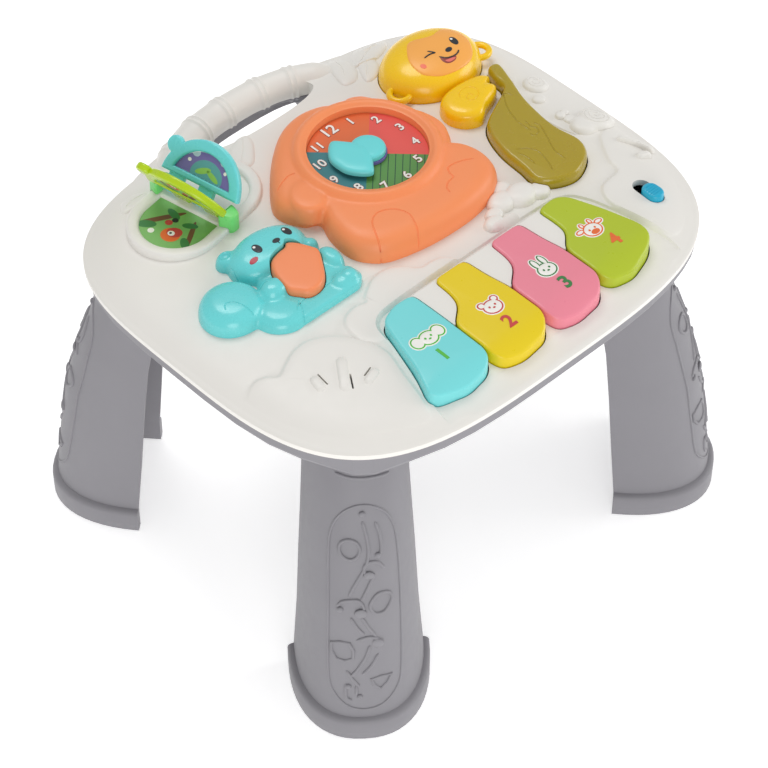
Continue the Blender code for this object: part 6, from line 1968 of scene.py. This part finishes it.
# Reliefs moulded on the deck
@dataclass
class Reliefs:
    """The white terraces, balls, rosettes, logs, leaves, ridge and slot pads moulded on the top."""

    balls: Rows = (
        (74, -52.5, 12.5, 10.5, 6.4), (60, -49, 11, 9, 5.8), (86, -58, 8, 7.5, 4.4), (68, -40.5, 8.5, 7.5, 4.6),
        (42, -60.5, 8, 6.4, 4.8), (51.5, -65, 7.4, 5, 4.2), (48, -54.5, 7, 6, 4), (170, -30.5, 13.5, 12.5, 5.4),
        (165, 22.4, 9.4, 9, 3.6), (154.6, 9, 5.6, 4.6, 2.2), (152.4, -13.6, 4, 3.8, 2.6), (157.6, -12.4, 3.4, 3.4, 2.2),
        (155, -20, 4.6, 4.4, 2.2))
    cups: Rows = ((170, -30.5, 8.4), (170, -30.5, 5.2), (170, -30.5, 2), (165, 22.4, 5.6), (165, 22.4, 2.8))
    logs: Rows = (
        (156.5, -31, 168.5, -31, 9.4, 4.4), (164.7, -56.5, 171.7, -66, 2.3, 5), (172.2, -66.9, 176.2, -76.5, 2.1, 4.8),
        (162.4, -77.8, 168.6, -79.6, 3, 4.8), (88.2, 121.4, 103, 118.4, 1.7, 2.6), (103, 131.6, 117, 131.9, 1.7, 2.6))
    leaves: tuple[Points, ...] = (
        ((66, 112), (74.7, 136.3), (81, 141.5), (88, 131), (85, 117), (76, 108.5)),
        ((88, 119), (98, 137), (112, 138.6), (125.4, 134), (120, 124), (104, 116.5)),
        ((80, 104), (92, 124.5), (101, 121), (99, 109), (88, 101)),
        ((-27, 118), (-18, 121.5), (-17, 112), (-24, 101), (-34, 92.1), (-44, 98), (-40, 110)),
        ((-125, 118), (-118, 128), (-106, 127.5), (-101, 120), (-111, 115.5)))
    leaf_height: float = 1.9
    twigs: tuple[Points, ...] = (
        ((121, 134.5), (110.7, 130.5), (99, 125), (90, 120.5)), ((82, 137), (79, 127), (73, 117)),
        ((96, 121), (90, 112), (84, 106)), ((-21, 117), (-28, 108), (-38, 98)),
        ((-120, 121), (-112, 122.5), (-104, 122)))
    ridge: Points = ((156.1, 35.8), (147.8, 20.7), (142.5, 2), (142.6, -18.3), (146.8, -34.5))
    ridge_radius: float = 0.0011
    ridge_sink: float = 0.0003
    terraces: tuple[tuple[Point, float, Points], ...] = (
        ((-128, -92), 1.5, (
            (-177, -62), (-171.3, -57.1), (-163.6, -54.6), (-155.2, -57.5), (-150.2, -62.4), (-142.6, -58.9),
            (-131.1, -53.9), (-119.2, -53.2), (-108, -57.8), (-98.5, -66), (-91.4, -76.7), (-87.4, -87.7), (-87, -100),
            (-92, -118), (-97, -140), (-104, -154), (-125, -146), (-150, -129), (-165, -111), (-175, -90),
            (-178.5, -74))),
        ((-62, -66), 1.5, (
            (-94, -82), (-95.5, -72), (-93.1, -60.6), (-86.4, -54.2), (-76, -51.8), (-69, -53.6), (-67.5, -51),
            (-59.8, -45.5), (-49.8, -40.8), (-38.5, -40.5), (-28.3, -45.8), (-20.6, -54.6), (-12.6, -55.4),
            (-4.5, -57.4), (2, -65), (0, -74), (-40, -76), (-80, -90))),
        ((148, -98), 2, (
            (158.6, -43.2), (149.2, -53.7), (141, -67.5), (138.1, -77.6), (128.3, -79.4), (118.2, -82.8),
            (111.2, -94.5), (112, -114.1), (116.9, -129.6), (122.2, -144), (134, -145), (145.1, -139.4), (158, -130),
            (172, -108.4), (180.5, -88), (183.7, -66.7), (183.5, -46.8), (171.6, -41.8))))
    bars: Rows = (
        (-114.3, -82.3, -128, -100.6, 3.9), (-137.2, -82.8, -138.9, -90.2, 3.6), (-105.6, -103.6, -113.8, -106.4, 3.3))
    bar_height: float = 3.2

    def build(self, deck: Deck) -> None:
        """Make each relief and hand it to the deck."""
        surface = deck.surface
        for x, y, rx, ry, height in self.balls:
            deck.reliefs.append(mound("relief_ball", ellipse(mm(x, y), mm(rx, ry), 48), surface, height * 0.001))
        for middle, height, outline in self.terraces:
            step = mm_curve(outline, 5)
            deck.reliefs.append(terrace("relief_terrace", step, mm(*middle), surface, height * 0.001, deck.reach))
        low = [("relief_log", stadium(mm(x0, y0), mm(x1, y1), radius * 0.001, 12), height)
               for x0, y0, x1, y1, radius, height in self.logs]
        low += [("relief_leaf", mm_curve(outline, 6), self.leaf_height) for outline in self.leaves]
        low += [("grille_bar", stadium(mm(x0, y0), mm(x1, y1), radius * 0.001, 10), self.bar_height)
                for x0, y0, x1, y1, radius in self.bars]
        deck.reliefs += [mound(name, outline, surface, height * 0.001) for name, outline, height in low]
        line = surface.along(mm_curve(self.ridge, 8, False), -self.ridge_sink)
        deck.reliefs.append(wires("ridge", [line], self.ridge_radius, resolution=3))
        deck.hollows += [(mm(x, y), radius * 0.001) for x, y, radius in self.cups]
        deck.twigs += [mm_curve(path, 6, False) for path in self.twigs]


# What the frame still shows
@dataclass
class Dressing:
    """Finishes for the frame's own nodes, also those that are hidden inside."""

    finishes: tuple[tuple[Finish, tuple[str, ...]], ...] = (
        (Finish.WHITE, ("top_shell",)),
        (Finish.GREY, ("bottom_shell", "leg_", "battery_box", "battery_door")),
        (Finish.ORANGE, ("clock_housing",)),
        (Finish.DIAL, ("dial_plate",)),
        (Finish.KNOB, ("clock_knob",)),
        (Finish.PURPLE, ("knob_disc",)),
        (Finish.YELLOW, ("monkey_",)),
        (Finish.NUT, ("nut_button",)),
        (Finish.OLIVE, ("leaf_button",)),
        (Finish.FACE, ("monkey_face",)),
        (Finish.CYAN, ("squirrel_body", "page_cyan")),
        (Finish.LIME, ("page_lime",)),
        (Finish.HINGE, ("book_block_",)),
        (Finish.KEY_CYAN, ("key_1",)),
        (Finish.KEY_YELLOW, ("key_2",)),
        (Finish.KEY_PINK, ("key_3",)),
        (Finish.KEY_GREEN, ("key_4",)),
        (Finish.BLUE, ("switch_slider",)),
        (Finish.RUBBER, ("key_contact_strip",)),
        (Finish.BOARD, ("key_board",)),
        (Finish.LAMP, ("leaf_light",)),
        (Finish.BLACK, ("nut_switch", "leaf_switch", "head_switch", "switch_body", "speaker")),
        (Finish.SPRING, ("nut_spring", "leaf_spring", "head_spring", "contact_plate_")),
        (Finish.WRAP, ("battery_",)),
        (Finish.INK_SKY, ("book_picture", "page_lime_picture", "page_cyan_picture")),
        (Finish.STEEL, ("battery_door_screw", "case_screw_", "book_hinge_pin", "key_pivot_rod", "knob_spindle_nut")))

    def finish_of(self, node: str) -> Finish:
        """The finish whose name fits a node best."""
        fits = [(len(start), finish) for finish, starts in self.finishes for start in starts if node.startswith(start)]
        return max(fits, key=lambda found: found[0])[1]

    def build(self, frame: dict) -> None:
        """Dress every node through its material slots."""
        for name, node in frame["nodes"].items():
            node.data.materials.clear()
            node.data.materials.append(self.finish_of(name).material())
            log.info("%s dressed", name)


@dataclass
class Studio:
    """The floor, soft lights and the camera at the photograph's angle."""

    floor_size: float = 12.0
    floor_glow: float = 0.5
    air_strength: float = 0.48
    lights: tuple[tuple[str, Place, float, float], ...] = (
        ("top_light", (0.2, 0.7, 2), 1, 11), ("right_light", (2.2, -1.4, 0.95), 1.5, 17),
        ("front_light", (-1.6, -2, 0.95), 1.5, 20))
    light_aim: Place = (0, 0, 0.2)
    lens: float = 130.32
    camera_place: Place = (-0.9193, -0.9724, 1.5088)
    camera_aim: Place = (-0.0366, -0.0387, 0.15)

    def aim(self, thing: Piece, place: Place, at: Place) -> None:
        """Set a lamp or the camera at its place, looking at another."""
        thing.location = place
        thing.rotation_euler = (Vector(at) - thing.location).to_track_quat('-Z', 'Y').to_euler()

    def build(self) -> None:
        """Build the floor, the light and the camera."""
        white = (1.0, 1.0, 1.0, 1.0)
        bpy.ops.object.select_all(action='DESELECT')
        bpy.ops.mesh.primitive_plane_add(size=self.floor_size, location=(0, 0, 0))
        floor = bpy.context.active_object
        floor.name = "studio_floor"
        paper = Plastic("studio_paper", (250, 250, 250), 0.9, 0.01, 400.0).material()
        Wiring(paper.node_tree).fill(paper.node_tree.nodes["Principled BSDF"], Emission_Color=white,
                                     Emission_Strength=self.floor_glow)
        floor.data.materials.append(paper)
        world = bpy.data.worlds.new("studio_air")
        world.use_nodes = True
        Wiring(world.node_tree).fill(world.node_tree.nodes["Background"], Color=white, Strength=self.air_strength)
        bpy.context.scene.world = world
        for name, place, size, power in self.lights:
            light = bpy.data.lights.new(name, 'AREA')
            light.shape = 'DISK'
            light.size = size
            light.energy = power
            self.aim(new_object(name, light), place, self.light_aim)
        view = bpy.data.cameras.new("view")
        view.lens = self.lens
        view.sensor_width = 36.0
        camera = new_object("view", view)
        self.aim(camera, self.camera_place, self.camera_aim)
        bpy.context.scene.camera = camera
        bpy.context.scene.view_settings.view_transform = 'Standard'


def main(frame: dict) -> None:
    """Build the shown pieces in order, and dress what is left.

    Args:
        frame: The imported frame.
    """
    logging.basicConfig(level=logging.INFO, format="%(name)s %(message)s")
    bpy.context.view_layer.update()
    Studio().build()
    deck = Deck()
    deck.build()
    Dressing().build(frame)
    Legs().build()
    Reliefs().build(deck)
    for group in (Keys(), Clock(), Squirrel(), LeafButton(), Monkey(), SlideSwitch(), SpeakerGrille()):
        group.build(deck)
        log.info("%s built", type(group).__name__)
    Book().build()
    deck.finish()


if __name__ == "__main__":
    main(frame)
